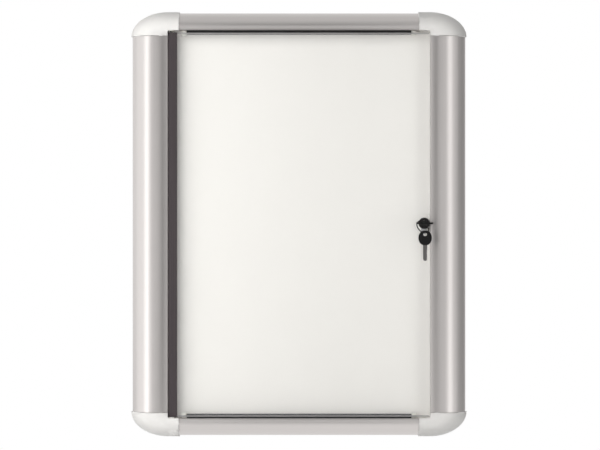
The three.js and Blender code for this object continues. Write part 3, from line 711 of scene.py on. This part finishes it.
def bush(side, way):
    """A flanged bush in a cap's edge; way is 1 at the top and -1 at the bottom."""
    low = min(abs(corner.z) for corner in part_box(f"{side}_hinge_bush"))
    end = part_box("top_hinge_bush")[1].z
    profile = (
        (PIN_BORE, low),
        (BUSH_FLANGE, low),
        (BUSH_FLANGE, CAP_INNER_Z),
        (BUSH_RADIUS, CAP_INNER_Z),
        (BUSH_RADIUS, end),
        (PIN_BORE, end),
        (PIN_BORE, low),
    )
    piece = turned_on_hinge(f"{side}_flanged_bush", [(x, way * z) for x, z in profile])
    return soften(piece, width=0.2 * MM)


def pin(side):
    """A hinge pin with chamfered ends."""
    low, high = (corner.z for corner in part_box(f"{side}_hinge_pin"))
    profile = (
        (0, low),
        (PIN_RADIUS - PIN_CHAMFER, low),
        (PIN_RADIUS, low + PIN_CHAMFER),
        (PIN_RADIUS, high - PIN_CHAMFER),
        (PIN_RADIUS - PIN_CHAMFER, high),
        (0, high),
    )
    return soften(turned_on_hinge(f"{side}_chamfered_pin", profile), width=0.1 * MM)


def turned_piece(name, profile, x=0, z=0):
    """A turned piece with its axis towards the viewer, from [radius, front] points."""
    outline = Outline(name, profile[0][0], -profile[0][1])
    outline.line(*((radius, -front) for radius, front in profile[1:]))
    return settle(outline.turned(), (x, 0, z))


def threaded(radius, start, pitch, depth, turns):
    """Profile points of a thread's ridges along a shank, from its start towards its end."""
    points = []
    for turn in range(turns):
        points += [(radius, start + turn * pitch), (radius - depth, start + (turn + 0.5) * pitch)]
    return points + [(radius, start + turns * pitch)]


def cross_recess(head, reach, depth, x=0, z=0):
    """Two crossed bars that cut the recess in a screw's head, which faces the wall."""
    return [
        block("recess", (x - wide, head + OVERRUN, z - tall), (x + wide, head - depth, z + tall))
        for wide, tall in ((reach, CROSS_HALF), (CROSS_HALF, reach))
    ]


def bracket_screw():
    """A countersunk screw, its head towards the wall."""
    start = SCREW_WEB + SCREW_RUN_OUT
    profile = [(0, 0), (SCREW_HEAD, 0), (SCREW_HEAD, SCREW_RIM), (SCREW_SHANK, SCREW_WEB)]
    profile += threaded(SCREW_SHANK, start, SCREW_PITCH, SCREW_THREAD_DEPTH, SCREW_TURNS)
    profile += [(SCREW_SHANK - SCREW_RUN_OUT, SCREW_TIP), (0, SCREW_TIP)]
    piece = turned_piece("bracket_screw", profile)
    combine(piece, *cross_recess(0, SCREW_CROSS, SCREW_RECESS))
    return soften(piece, width=0.06 * MM, segments=1)


def copy_to(piece, name, x, z):
    """A copy under its own name, moved across the board."""
    other = duplicate(piece)
    other.name = name
    other.data.name = name
    return settle(other, (x, 0, z))


def lock_body():
    """The lock's threaded barrel with its rounded bezel and the dish round the plug."""
    thread = threaded(BARREL_RADIUS, BARREL_BACK, THREAD_PITCH, THREAD_DEPTH, THREAD_TURNS)
    outline = Outline("lock_body", PLUG_BORE, -BARREL_BACK)
    outline.line(*((radius, -front) for radius, front in thread))
    shoulder = -BEZEL_FRONT + BEZEL_ROUND
    outline.line((BARREL_RADIUS, -DOOR_FRONT), (BEZEL_RADIUS, -DOOR_FRONT), (BEZEL_RADIUS, shoulder))
    outline.arc(BEZEL_RADIUS - BEZEL_ROUND, shoulder, 90, steps=8)
    outline.line((DISH_RADIUS, -BEZEL_FRONT))
    outline.line((DISH_RADIUS - DISH_DEPTH, DISH_DEPTH - BEZEL_FRONT))
    outline.line((PLUG_BORE, DISH_DEPTH - BEZEL_FRONT), (PLUG_BORE, -BARREL_BACK))
    piece = settle(outline.turned(steps=96), on_lock_axis(0))
    for side in (-1, 1):
        outer = LOCK_X + side * (BEZEL_RADIUS + OVERRUN)
        corner = (LOCK_X + side * BARREL_FLAT, -DOOR_FRONT, LOCK_Z - BEZEL_RADIUS)
        opposite = (outer, OVERRUN - BARREL_BACK, LOCK_Z + BEZEL_RADIUS)
        combine(piece, block("barrel_flat", corner, opposite))
    return soften(piece, width=0.12 * MM)


def plug():
    """The plug with its keyway and the square tail that carries the cam."""
    profile = (
        (0, PLUG_SHOULDER),
        (PLUG_RADIUS, PLUG_SHOULDER),
        (PLUG_RADIUS, PLUG_FRONT - PLUG_CHAMFER),
        (PLUG_RADIUS - PLUG_CHAMFER, PLUG_FRONT),
        (0, PLUG_FRONT),
    )
    piece = turned_piece("keyed_plug", profile, LOCK_X, LOCK_Z)
    tail_low = (LOCK_X - TAIL_HALF, -PLUG_SHOULDER - OVERRUN, LOCK_Z - TAIL_HALF)
    tail_high = (LOCK_X + TAIL_HALF, -PLUG_TAIL_END, LOCK_Z + TAIL_HALF)
    combine(piece, block("tail", tail_low, tail_high), how="UNION")
    half = BLADE_HALF + TIGHT_FIT
    flat = BLADE_FLAT + TIGHT_FIT
    low = (LOCK_X - half, -PLUG_FRONT - OVERRUN, LOCK_Z - flat)
    keyway = block("keyway", low, (LOCK_X + half, -KEYWAY_END, LOCK_Z + flat))
    start = on_lock_axis(CAM_SCREW_LOW.y - FIT)
    end = on_lock_axis(-PLUG_TAIL_END + OVERRUN)
    hole = rod("screw_hole", CAM_SCREW_SHANK + TIGHT_FIT, start, end, sides=32)
    combine(piece, keyway, hole)
    return soften(piece, width=0.1 * MM)


def cam():
    """The cam, rounded at both ends, with the square hole that fits the plug's tail."""
    foot = CAM_LOW.z + CAM_HALF
    outline = Outline("locking_cam", LOCK_X - CAM_HALF, foot)
    outline.arc(LOCK_X, foot, -180, steps=20)
    outline.line((LOCK_X + CAM_HALF, LOCK_Z))
    outline.arc(LOCK_X, LOCK_Z, -180, steps=20)
    piece = settle(outline.bar(-CAM_HIGH.y, -CAM_LOW.y), turns=(90, 0, 0))
    half = TAIL_HALF + TIGHT_FIT
    low = (LOCK_X - half, CAM_LOW.y - OVERRUN, LOCK_Z - half)
    high = (LOCK_X + half, CAM_HIGH.y + OVERRUN, LOCK_Z + half)
    combine(piece, block("square_hole", low, high))
    return soften(piece, width=0.25 * MM, segments=3)


def cam_fixing():
    """The screw that holds the cam, with a cross recess in its domed head."""
    back = -CAM_SCREW_HIGH.y
    seat = back + CAM_SCREW_HEAD
    radius = (CAM_SCREW_HIGH.x - CAM_SCREW_LOW.x) / 2
    profile = [(0, back)]
    profile += [(radius - inward, back + down) for inward, down in CAM_SCREW_DOME]
    profile += [(radius, seat), (CAM_SCREW_SHANK, seat)]
    profile += [(CAM_SCREW_SHANK, -CAM_SCREW_LOW.y), (0, -CAM_SCREW_LOW.y)]
    piece = turned_piece("cam_fixing_screw", profile, LOCK_X, LOCK_Z)
    head = CAM_SCREW_HIGH.y
    combine(piece, *cross_recess(head, CAM_SCREW_CROSS, CAM_SCREW_RECESS, LOCK_X, LOCK_Z))
    return soften(piece, width=0.08 * MM)


def washer():
    bore = BARREL_RADIUS + CLOSE_FIT
    radius = (WASHER_HIGH.x - WASHER_LOW.x) / 2
    back = -WASHER_HIGH.y
    front = -WASHER_LOW.y
    profile = ((bore, back), (radius, back), (radius, front), (bore, front), (bore, back))
    return soften(turned_piece("flat_washer", profile, LOCK_X, LOCK_Z), width=0.15 * MM)


def nut():
    """The hexagon nut, its corners chamfered, with the thread's bore."""
    corner = (NUT_HIGH.z - NUT_LOW.z) / 2
    flat = (NUT_HIGH.x - NUT_LOW.x) / 2
    ends = (on_lock_axis(NUT_LOW.y), on_lock_axis(NUT_HIGH.y))
    piece = rod("hexagon_nut", corner, *ends, sides=6)
    back = -NUT_HIGH.y
    front = -NUT_LOW.y
    profile = ((0, back), (flat, back), (corner, back + NUT_CHAMFER), (corner, front), (0, front))
    combine(piece, turned_piece("chamfer", profile, LOCK_X, LOCK_Z), how="INTERSECT")
    ends = (on_lock_axis(NUT_LOW.y - OVERRUN), on_lock_axis(NUT_HIGH.y + OVERRUN))
    combine(piece, rod("bore", BARREL_RADIUS + CLOSE_FIT, *ends))
    return soften(piece, width=0.15 * MM)


# The keys, modelled upright about the middle of the bow's lower edge
def blade(name):
    half = BLADE_HALF
    tip_half = half * BLADE_TIP_SHARE
    outline = Outline(name, -half, BLADE_IN_BOW)
    outline.line((-half, BLADE_TIP - BLADE_LENGTH), (-tip_half, -BLADE_LENGTH))
    outline.line((tip_half, -BLADE_LENGTH), (half, BLADE_TIP - BLADE_LENGTH))
    for index, depth in enumerate(CUT_DEPTHS):
        bottom = CUT_START + index * CUT_PITCH - BLADE_LENGTH
        outline.line((half, bottom - CUT_HALF), (half - depth, bottom), (half, bottom + CUT_HALF))
    outline.line((half, BLADE_IN_BOW))
    piece = outline.bar(-BLADE_FLAT, BLADE_FLAT)
    left = -tip_half / 2 - BLADE_GROOVE / 2
    right = -tip_half / 2 + BLADE_GROOVE / 2
    for side in (-1, 1):
        corner = (left, -BLADE_LENGTH - OVERRUN, side * (BLADE_FLAT - BLADE_GROOVE_DEPTH))
        combine(piece, block("blade_groove", corner, (right, 0, side * (BLADE_FLAT + OVERRUN))))
    return soften(piece, width=0.14 * MM)


def is_bow_edge(place, way):
    """True on the outer edges of a bow's two flat sides."""
    if not near(abs(place.z), BOW_FLAT) or abs(way.z) > ACROSS:
        return False
    from_core = Vector((max(0, abs(place.x) - BOW_STRAIGHT), place.y - BOW_END))
    return from_core.length > BOW_END - CLOSE_FIT


def bow(name):
    """The moulded black bow: rounded ends, a slot for the ring and a shallow grip on each side."""
    outline = Outline(name, -BOW_STRAIGHT, 0)
    outline.line((BOW_STRAIGHT, 0))
    outline.arc(BOW_STRAIGHT, BOW_END, -180, steps=32)
    outline.line((-BOW_STRAIGHT, BOW_LENGTH))
    outline.arc(-BOW_STRAIGHT, BOW_END, -180, steps=32)
    piece = outline.bar(-BOW_FLAT, BOW_FLAT)
    slot_y = BOW_LENGTH - BOW_RIM - SLOT_HALF_HEIGHT
    slot_bottom = slot_y - SLOT_HALF_HEIGHT
    slot = block(
        "ring_slot",
        (-SLOT_HALF_WIDTH, slot_bottom, -BOW_FLAT - OVERRUN),
        (SLOT_HALF_WIDTH, slot_y + SLOT_HALF_HEIGHT, BOW_FLAT + OVERRUN),
        SLOT_HALF_HEIGHT - 2 * WELD,
        along_z,
        segments=8,
    )
    combine(piece, slot)
    for side in (-1, 1):
        corner = (-GRIP_HALF, BLADE_IN_BOW + GRIP_MARGIN, side * (BOW_FLAT - GRIP_DEPTH))
        opposite = (GRIP_HALF, slot_bottom - GRIP_MARGIN, side * (BOW_FLAT + OVERRUN))
        combine(piece, block("grip", corner, opposite, GRIP_RADIUS, along_z))
    edit(piece)
    select(piece, "EDGE", is_bow_edge)
    bpy.ops.mesh.bevel(offset=BOW_ROUND, segments=4, affect="EDGES")
    leave()
    pocket = block(
        "blade_pocket",
        (-BLADE_HALF - FIT / 2, -OVERRUN, -BLADE_FLAT - FIT / 2),
        (BLADE_HALF + FIT / 2, BLADE_IN_BOW + FIT / 2, BLADE_FLAT + FIT / 2),
    )
    combine(piece, pocket)
    return soften(piece, width=0.12 * MM, angle=40)


def lie_in_lock(piece):
    """Turns an upright key part level, its tip to the wall, in the lock."""
    return settle(piece, on_lock_axis(BOW_HIGH.y), (180, 0, 0))


def hang(piece):
    """Hangs an upright key part where the spare key hangs."""
    bow_middle = middle("spare_key_bow")
    return settle(piece, (bow_middle.x, bow_middle.y, SPARE_FOOT), (90, 0, SPARE_TURN))


def split_ring():
    """A split ring: two turns of flat wire, with the gaps at their ends."""
    outer = RING_RADIUS + RING_WIRE
    inner = RING_RADIUS - RING_WIRE
    face = RING_WIRE
    edge = 0.3 * MM
    seam = 0.12 * MM
    outline = Outline("split_key_ring", inner + seam, 0)
    outline.line((inner, -edge), (inner, edge - face), (inner + edge, -face))
    outline.line((outer - edge, -face), (outer, edge - face), (outer, -edge))
    outline.line((outer - seam, 0), (outer, edge), (outer, face - edge))
    outline.line((outer - edge, face), (inner + edge, face))
    outline.line((inner, face - edge), (inner, edge), (inner + seam, 0))
    piece = outline.turned(steps=96)
    wire_end = 3 * MM
    gap = 0.25 * MM
    for side in (-1, 1):
        corner = (side * wire_end - gap, 0, inner - OVERRUN)
        opposite = (side * wire_end + gap, side * 2 * face, outer + OVERRUN)
        combine(piece, block("wire_end", corner, opposite))
    soften(piece, width=0.08 * MM)
    return settle(piece, middle("key_ring"), (RING_LEAN, 0, RING_TURN))


# Shader nodes
def add_node(tree, kind, inputs):
    """Adds a shader node whose inputs get a value each, or a link from another node's output."""
    added = tree.nodes.new("ShaderNode" + kind)
    for socket, value in inputs.items():
        if isinstance(value, bpy.types.NodeSocket):
            tree.links.new(value, added.inputs[socket])
        else:
            added.inputs[socket].default_value = value
    return added


def calculated(tree, operation, first, second, clamp=False):
    added = add_node(tree, "Math", {0: first, 1: second})
    added.operation = operation
    added.use_clamp = clamp
    return added.outputs[0]


def mixed(tree, share, first, second):
    """Two shaders mixed; the share is the second one's."""
    return add_node(tree, "MixShader", {0: share, 1: first, 2: second}).outputs[0]


def glow(tree, brightness):
    emission = {"Color": WHITE_LIGHT, "Strength": brightness}
    return add_node(tree, "Emission", emission).outputs[0]


# Floor, light and camera
def floor():
    """A pale floor that keeps the board's shadow, and that reflections see as dark."""
    piece = primitive(bpy.ops.mesh.primitive_plane_add, "floor", size=FLOOR_SIZE)
    settle(piece, FLOOR_PLACE)
    material = bpy.data.materials.new("pale floor")
    material.use_nodes = True
    tree = material.node_tree
    shader = tree.nodes["Principled BSDF"]
    shader.inputs["Base Color"].default_value = FLOOR_COLOR
    shader.inputs["Roughness"].default_value = FLOOR_ROUGHNESS
    ray = add_node(tree, "LightPath", {}).outputs
    through = ray["Is Transmission Ray"]
    mirrored = calculated(tree, "SUBTRACT", ray["Is Glossy Ray"], through, clamp=True)
    seen = calculated(tree, "MAXIMUM", ray["Is Camera Ray"], through)
    share = calculated(tree, "MULTIPLY", seen, FLOOR_GLOW_SHARE)
    surface = mixed(tree, mirrored, shader.outputs[0], glow(tree, FLOOR_IN_MIRRORS))
    surface = mixed(tree, share, surface, glow(tree, FLOOR_GLOW))
    tree.links.new(surface, tree.nodes["Material Output"].inputs["Surface"])
    piece.data.materials.append(material)


def stand(name, data, place):
    """Puts a lamp or the camera in its place."""
    holder = bpy.data.objects.new(name, data)
    bpy.context.scene.collection.objects.link(holder)
    holder.location = place
    return holder


def camera():
    data = bpy.data.cameras.new("front camera")
    data.sensor_width = SENSOR_WIDTH
    data.lens = SENSOR_WIDTH * CAMERA_DISTANCE / VIEW_WIDTH
    data.shift_x, data.shift_y = VIEW_SHIFT
    holder = stand("front camera", data, (0, -CAMERA_DISTANCE, 0))
    holder.rotation_euler = (math.radians(90), 0, 0)
    bpy.context.scene.camera = holder


def lamp(name, place, goal, width, height, strength, spread, shown):
    """A lamp that faces a point; its strength is the brightness of its face at a full spread."""
    data = bpy.data.lights.new(name, "AREA")
    data.shape = "RECTANGLE"
    data.size = width
    data.size_y = height
    data.energy = strength * width * height * math.pi
    data.spread = math.radians(spread)
    holder = stand(name, data, place)
    holder.rotation_euler = (Vector(goal) - Vector(place)).to_track_quat("-Z", "Y").to_euler()
    holder.visible_glossy = shown
    holder.visible_transmission = shown


def card(name, place, turns, width, height, brightness):
    """A plain card of the studio that only reflections see."""
    piece = primitive(bpy.ops.mesh.primitive_plane_add, name, size=1)
    piece.scale = (width, height, 1)
    settle(piece, place, turns)
    material = bpy.data.materials.new(name)
    material.use_nodes = True
    tree = material.node_tree
    tree.nodes.clear()
    add_node(tree, "OutputMaterial", {"Surface": glow(tree, brightness)})
    piece.data.materials.append(material)
    piece.visible_camera = False
    piece.visible_diffuse = False
    piece.visible_transmission = False
    piece.visible_shadow = False


def studio():
    """A dim world that the camera, mirrors and glass see as white, with its cards and lamps."""
    world = bpy.data.worlds.new("white studio")
    bpy.context.scene.world = world
    world.use_nodes = True
    tree = world.node_tree
    tree.nodes.clear()
    dim, white = (
        add_node(tree, "Background", {"Color": WHITE_LIGHT, "Strength": strength}).outputs[0]
        for strength in (WORLD_STRENGTH, 1)
    )
    ray = add_node(tree, "LightPath", {}).outputs
    seen = calculated(tree, "MAXIMUM", ray["Is Camera Ray"], ray["Is Glossy Ray"])
    seen = calculated(tree, "MAXIMUM", seen, ray["Is Transmission Ray"])
    add_node(tree, "OutputWorld", {"Surface": mixed(tree, seen, dim, white)})
    for row in CARDS:
        card(*row)
    for row in LAMPS:
        lamp(*row)
    bpy.context.scene.view_settings.view_transform = "Standard"


# Finishes, whose colour, gloss and relief follow patterns on the piece itself
def cloud(size, stretch=(1, 1, 1), detail=3):
    """A cloudy pattern of about a size in mm, drawn out along some axes."""
    return "TexNoise", "Fac", size, stretch, {"Detail": detail}


def spangle(size):
    """A pattern of patches of about a size in mm, each of one random tone."""
    return "TexVoronoi", "Color", size, (1, 1, 1), {}


def drawn(tree, pattern):
    kind, output, size, stretch, settings = pattern
    place = add_node(tree, "TexCoord", {}).outputs["Object"]
    scale = [1 / (size * MM * way) for way in stretch]
    spot = add_node(tree, "Mapping", {"Vector": place, "Scale": scale}).outputs[0]
    return add_node(tree, kind, {"Vector": spot, "Scale": 1, **settings}).outputs[output]


PATTERN_RANGE = (0.3, 0.7)


def finish(name, color, roughness, gloss, relief, metallic=0, tint=None, grain=None, sockets=None):
    """A material made of patterns with two numbers each.

    The tint and the gloss have two shares, of the colour and of the roughness. The relief,
    and the grain over it, have a depth in mm and a strength.
    """
    material = bpy.data.materials.new(name)
    material.use_nodes = True
    tree = material.node_tree
    shader = tree.nodes["Principled BSDF"]
    plain = {"Base Color": (*color, 1), "Roughness": roughness, "Metallic": metallic}
    for socket, value in (plain | (sockets or {})).items():
        shader.inputs[socket].default_value = value
    if tint:
        pattern, *shares = tint
        ramp = add_node(tree, "ValToRGB", {"Fac": drawn(tree, pattern)})
        for stop, place, share in zip(ramp.color_ramp.elements, PATTERN_RANGE, shares):
            stop.position = place
            stop.color = (*(min(1, channel * share) for channel in color), 1)
        tree.links.new(ramp.outputs["Color"], shader.inputs["Base Color"])
    pattern, *shares = gloss
    ranged = add_node(tree, "MapRange", {"Value": drawn(tree, pattern)})
    for end, place, share in zip(("Min", "Max"), PATTERN_RANGE, shares):
        ranged.inputs["From " + end].default_value = place
        ranged.inputs["To " + end].default_value = roughness * share
    tree.links.new(ranged.outputs[0], shader.inputs["Roughness"])
    below = {}
    for pattern, depth, strength in filter(None, (relief, grain)):
        bump = {"Height": drawn(tree, pattern), "Distance": depth * MM, "Strength": strength}
        below = {"Normal": add_node(tree, "Bump", bump | below).outputs[0]}
    tree.links.new(below["Normal"], shader.inputs["Normal"])
    return material


ACRYLIC_IOR = 1.49


def satin_aluminium(name, stretch):
    """Bead-blasted and anodised, with faint drawing lines along the extrusion."""
    lines = cloud(1.4, stretch)
    return finish(
        name,
        (0.62, 0.59, 0.575),
        roughness=0.42,
        metallic=1,
        tint=(lines, 0.965, 1.03),
        gloss=(lines, 0.9, 1.1),
        relief=(lines, 0.02, 0.25),
        grain=(cloud(0.35), 0.02, 0.3),
    )


def clear_acrylic():
    """Cast acrylic with a hardly wavy face; shadows and soft light pass straight through it."""
    material = finish(
        "clear acrylic",
        (0.985, 0.985, 0.98),
        roughness=0.015,
        gloss=(cloud(14), 0.5, 1.8),
        relief=(cloud(70), 0.05, 0.1),
        sockets={"Transmission Weight": 1, "IOR": ACRYLIC_IOR},
    )
    tree = material.node_tree
    ray = add_node(tree, "LightPath", {}).outputs
    straight = calculated(tree, "MAXIMUM", ray["Is Shadow Ray"], ray["Is Diffuse Ray"])
    clear = add_node(tree, "BsdfTransparent", {"Color": (0.96, 0.96, 0.955, 1)}).outputs[0]
    surface = mixed(tree, straight, tree.nodes["Principled BSDF"].outputs[0], clear)
    tree.links.new(surface, tree.nodes["Material Output"].inputs["Surface"])
    return material


SIDE_ALUMINIUM = satin_aluminium("satin aluminium, drawn upright", (1, 1, 400))
RAIL_ALUMINIUM = satin_aluminium("satin aluminium, drawn level", (400, 1, 1))
ACRYLIC = clear_acrylic()
# The sawn edge, frosted by fine lines; its grey is partly painted shade, darkening the line round the
# door
SANDED_AND_SHADED = finish(
    "sanded acrylic edge with painted shade",
    (0.42, 0.41, 0.405),
    roughness=0.5,
    gloss=(cloud(0.6, (12, 1, 12)), 0.85, 1.2),
    relief=(cloud(0.3, (12, 1, 12)), 0.05, 0.4),
    sockets={"Transmission Weight": 0.4, "IOR": ACRYLIC_IOR},
)
# With a fine spark-eroded grain
CAP_GREY = finish(
    "light grey moulded plastic",
    (0.77, 0.755, 0.73),
    roughness=0.46,
    tint=(cloud(9), 0.98, 1.01),
    gloss=(cloud(3), 0.92, 1.1),
    relief=(cloud(0.45, detail=4), 0.05, 0.3),
)
# Smooth, with the least orange peel
WHITE = finish(
    "white stoved enamel",
    (0.93, 0.91, 0.875),
    roughness=0.24,
    tint=(cloud(60), 0.992, 1.004),
    gloss=(cloud(5), 0.9, 1.15),
    relief=(cloud(2.5), 0.03, 0.15),
)
CHARCOAL_LINES = cloud(0.9, (1, 1, 300))
CHARCOAL = finish(
    "charcoal anodised aluminium",
    (0.055, 0.044, 0.047),
    roughness=0.42,
    metallic=0.5,
    tint=(CHARCOAL_LINES, 0.85, 1.2),
    gloss=(CHARCOAL_LINES, 0.85, 1.15),
    relief=(CHARCOAL_LINES, 0.03, 0.3),
)
# Black rubber for the seals: painted shade in the gaps above and below the door
RUBBER_PAINTED_SHADE = finish(
    "black rubber",
    (0.016, 0.015, 0.015),
    roughness=0.68,
    tint=(cloud(4), 0.8, 1.35),
    gloss=(cloud(1.5), 0.9, 1.12),
    relief=(cloud(0.4, detail=5), 0.05, 0.4),
)
NYLON = finish(
    "pale nylon",
    (0.74, 0.73, 0.68),
    roughness=0.48,
    tint=(cloud(3), 0.96, 1.03),
    gloss=(cloud(1), 0.9, 1.1),
    relief=(cloud(0.5), 0.03, 0.25),
    sockets={"Subsurface Weight": 0.15, "Subsurface Radius": (2 * MM, 2 * MM, 1.6 * MM)},
)
# With its soft light and dark patches
ZINC = finish(
    "zinc plated steel",
    (0.5, 0.51, 0.52),
    roughness=0.34,
    metallic=1,
    tint=(cloud(7, detail=5), 0.86, 1.08),
    gloss=(cloud(2.5), 0.8, 1.3),
    relief=(cloud(0.6), 0.02, 0.25),
)
GALVANISED = finish(
    "galvanised sheet",
    (0.46, 0.47, 0.48),
    roughness=0.45,
    metallic=1,
    tint=(spangle(6), 0.9, 1.06),
    gloss=(spangle(6), 0.88, 1.12),
    relief=(cloud(1.2), 0.03, 0.2),
)
# Wood fibre with short matted strands
FIBRE = finish(
    "pressed fibre",
    (0.42, 0.29, 0.17),
    roughness=0.9,
    tint=(cloud(1.2, (3, 1, 3), 6), 0.7, 1.25),
    gloss=(cloud(2), 0.92, 1.05),
    relief=(cloud(0.8, (3, 1, 3), 5), 0.3, 0.5),
)
NICKEL = finish(
    "black nickel plate",
    (0.02, 0.0185, 0.0185),
    roughness=0.24,
    metallic=0.5,
    tint=(cloud(3), 0.8, 1.3),
    gloss=(cloud(0.9), 0.75, 1.4),
    relief=(cloud(0.5), 0.01, 0.2),
)
BLACK = finish(
    "black moulded plastic",
    (0.006, 0.0058, 0.006),
    roughness=0.42,
    tint=(cloud(4), 0.8, 1.3),
    gloss=(cloud(1.5), 0.85, 1.2),
    relief=(cloud(0.35, detail=4), 0.03, 0.3),
    sockets={"Specular IOR Level": 0.12},
)
# Dulled by fine scratches along the blade
KEY_SCRATCHES = cloud(0.3, (1, 1, 12), 4)
KEY_STEEL = finish(
    "nickel plated key steel",
    (0.15, 0.144, 0.14),
    roughness=0.34,
    metallic=1,
    tint=(cloud(2), 0.82, 1.12),
    gloss=(KEY_SCRATCHES, 0.75, 1.35),
    relief=(KEY_SCRATCHES, 0.012, 0.3),
)


# The pieces on their bodies
def coat(piece, material):
    piece.data.materials.clear()
    piece.data.materials.append(material)


def place(piece, body, slot, material, node):
    """Gives a piece its finish, and puts it on its body in the place of the node it stands for."""
    coat(piece, material)
    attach(piece, body)
    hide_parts(node)


def frame_pieces():
    side = (OPENING_X, OPENING_X, SIDE_HIGH.x, SIDE_HIGH.z - SIDE_LOW.z)
    rail = (SEAM_Z, RAIL_INNER, RAIL_HIGH.z, RAIL_HIGH.x - RAIL_LOW.x)
    for name, section, turn, material, node in (
        ("right_side_extrusion", side, 0, SIDE_ALUMINIUM, "right_side_profile"),
        ("left_side_extrusion", side, 180, SIDE_ALUMINIUM, "left_side_profile"),
        ("top_rail_extrusion", rail, -90, RAIL_ALUMINIUM, "top_rail"),
        ("bottom_rail_extrusion", rail, 90, RAIL_ALUMINIUM, "bottom_rail"),
    ):
        piece = extrusion(name, *section, turn)
        if node == "right_side_profile":
            combine(piece, cam_slot())
        soften(piece, width=0.25 * MM)
        place(piece, "case", "anodised_aluminium", material, node)


def corner_pieces():
    screw = bracket_screw()
    for corner, across, up in (
        ("top_left", -1, 1),
        ("top_right", 1, 1),
        ("bottom_left", -1, -1),
        ("bottom_right", 1, -1),
    ):
        cap = corner_moulding(f"{corner}_corner_moulding", across, up, across < 0)
        place(cap, "case", "cap_plastic", CAP_GREY, f"corner_cap_{corner}")
        pad = buffer_pad(f"{corner}_buffer_pad", across, up)
        place(pad, "case", "pale_nylon", NYLON, f"door_buffer_{corner}")
        for kind, spot in (("side", SIDE_SCREW), ("rail", RAIL_SCREW)):
            name = f"{corner}_{kind}_countersunk_screw"
            fixing = copy_to(screw, name, across * spot.x, up * spot.z)
            place(fixing, "case", "zinc_steel", ZINC, f"{kind}_bracket_screw_{corner}")
    bpy.data.objects.remove(screw)


def seal_and_hinge_pieces():
    # The seals put painted shade in the gaps above and below the door
    for side, way in (("top", 1), ("bottom", -1)):
        strip = seal(f"{side}_rubber_seal_painted_shade", -90 * way)
        place(strip, "case", "black_rubber", RUBBER_PAINTED_SHADE, f"{side}_door_seal")
        place(bush(side, way), "case", "pale_nylon", NYLON, f"{side}_hinge_bush")
        place(pin(side), "door", "key_steel", KEY_STEEL, f"{side}_hinge_pin")


def door_pieces():
    door = door_sheet()
    place(door, "door", "clear_acrylic", ACRYLIC, "clear_door_panel")
    sand_edges(door)
    place(stile(), "door", "charcoal_aluminium", CHARCOAL, "hinge_stile")
    place(lock_body(), "door", "dark_nickel", NICKEL, "lock_housing")
    place(washer(), "door", "zinc_steel", ZINC, "lock_washer")
    place(nut(), "door", "zinc_steel", ZINC, "lock_nut")
    place(plug(), "plug", "dark_nickel", NICKEL, "lock_plug")
    place(cam(), "plug", "zinc_steel", ZINC, "lock_cam")
    place(cam_fixing(), "plug", "zinc_steel", ZINC, "cam_screw")


def key_pieces():
    place(lie_in_lock(blade("nickel_key_blade")), "key", "key_steel", KEY_STEEL, "key_blade")
    place(lie_in_lock(bow("black_key_bow")), "key", "black_plastic", BLACK, "key_bow")
    place(split_ring(), "ring", "dark_nickel", NICKEL, "key_ring")
    place(hang(blade("nickel_spare_blade")), "spare", "key_steel", KEY_STEEL, "spare_key_blade")
    place(hang(bow("black_spare_bow")), "spare", "black_plastic", BLACK, "spare_key_bow")


CARRIED = {
    "corner_bracket": ZINC,
    "white_steel_sheet": WHITE,
    "core_board": FIBRE,
    "rear_sheet": GALVANISED,
}


def carried_nodes():
    """Gives the flat CAD pieces that stay their finishes."""
    for node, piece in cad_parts.items():
        for word, material in CARRIED.items():
            if word in node:
                coat(piece, material)


floor()
camera()
studio()
frame_pieces()
corner_pieces()
seal_and_hinge_pieces()
door_pieces()
key_pieces()
carried_nodes()
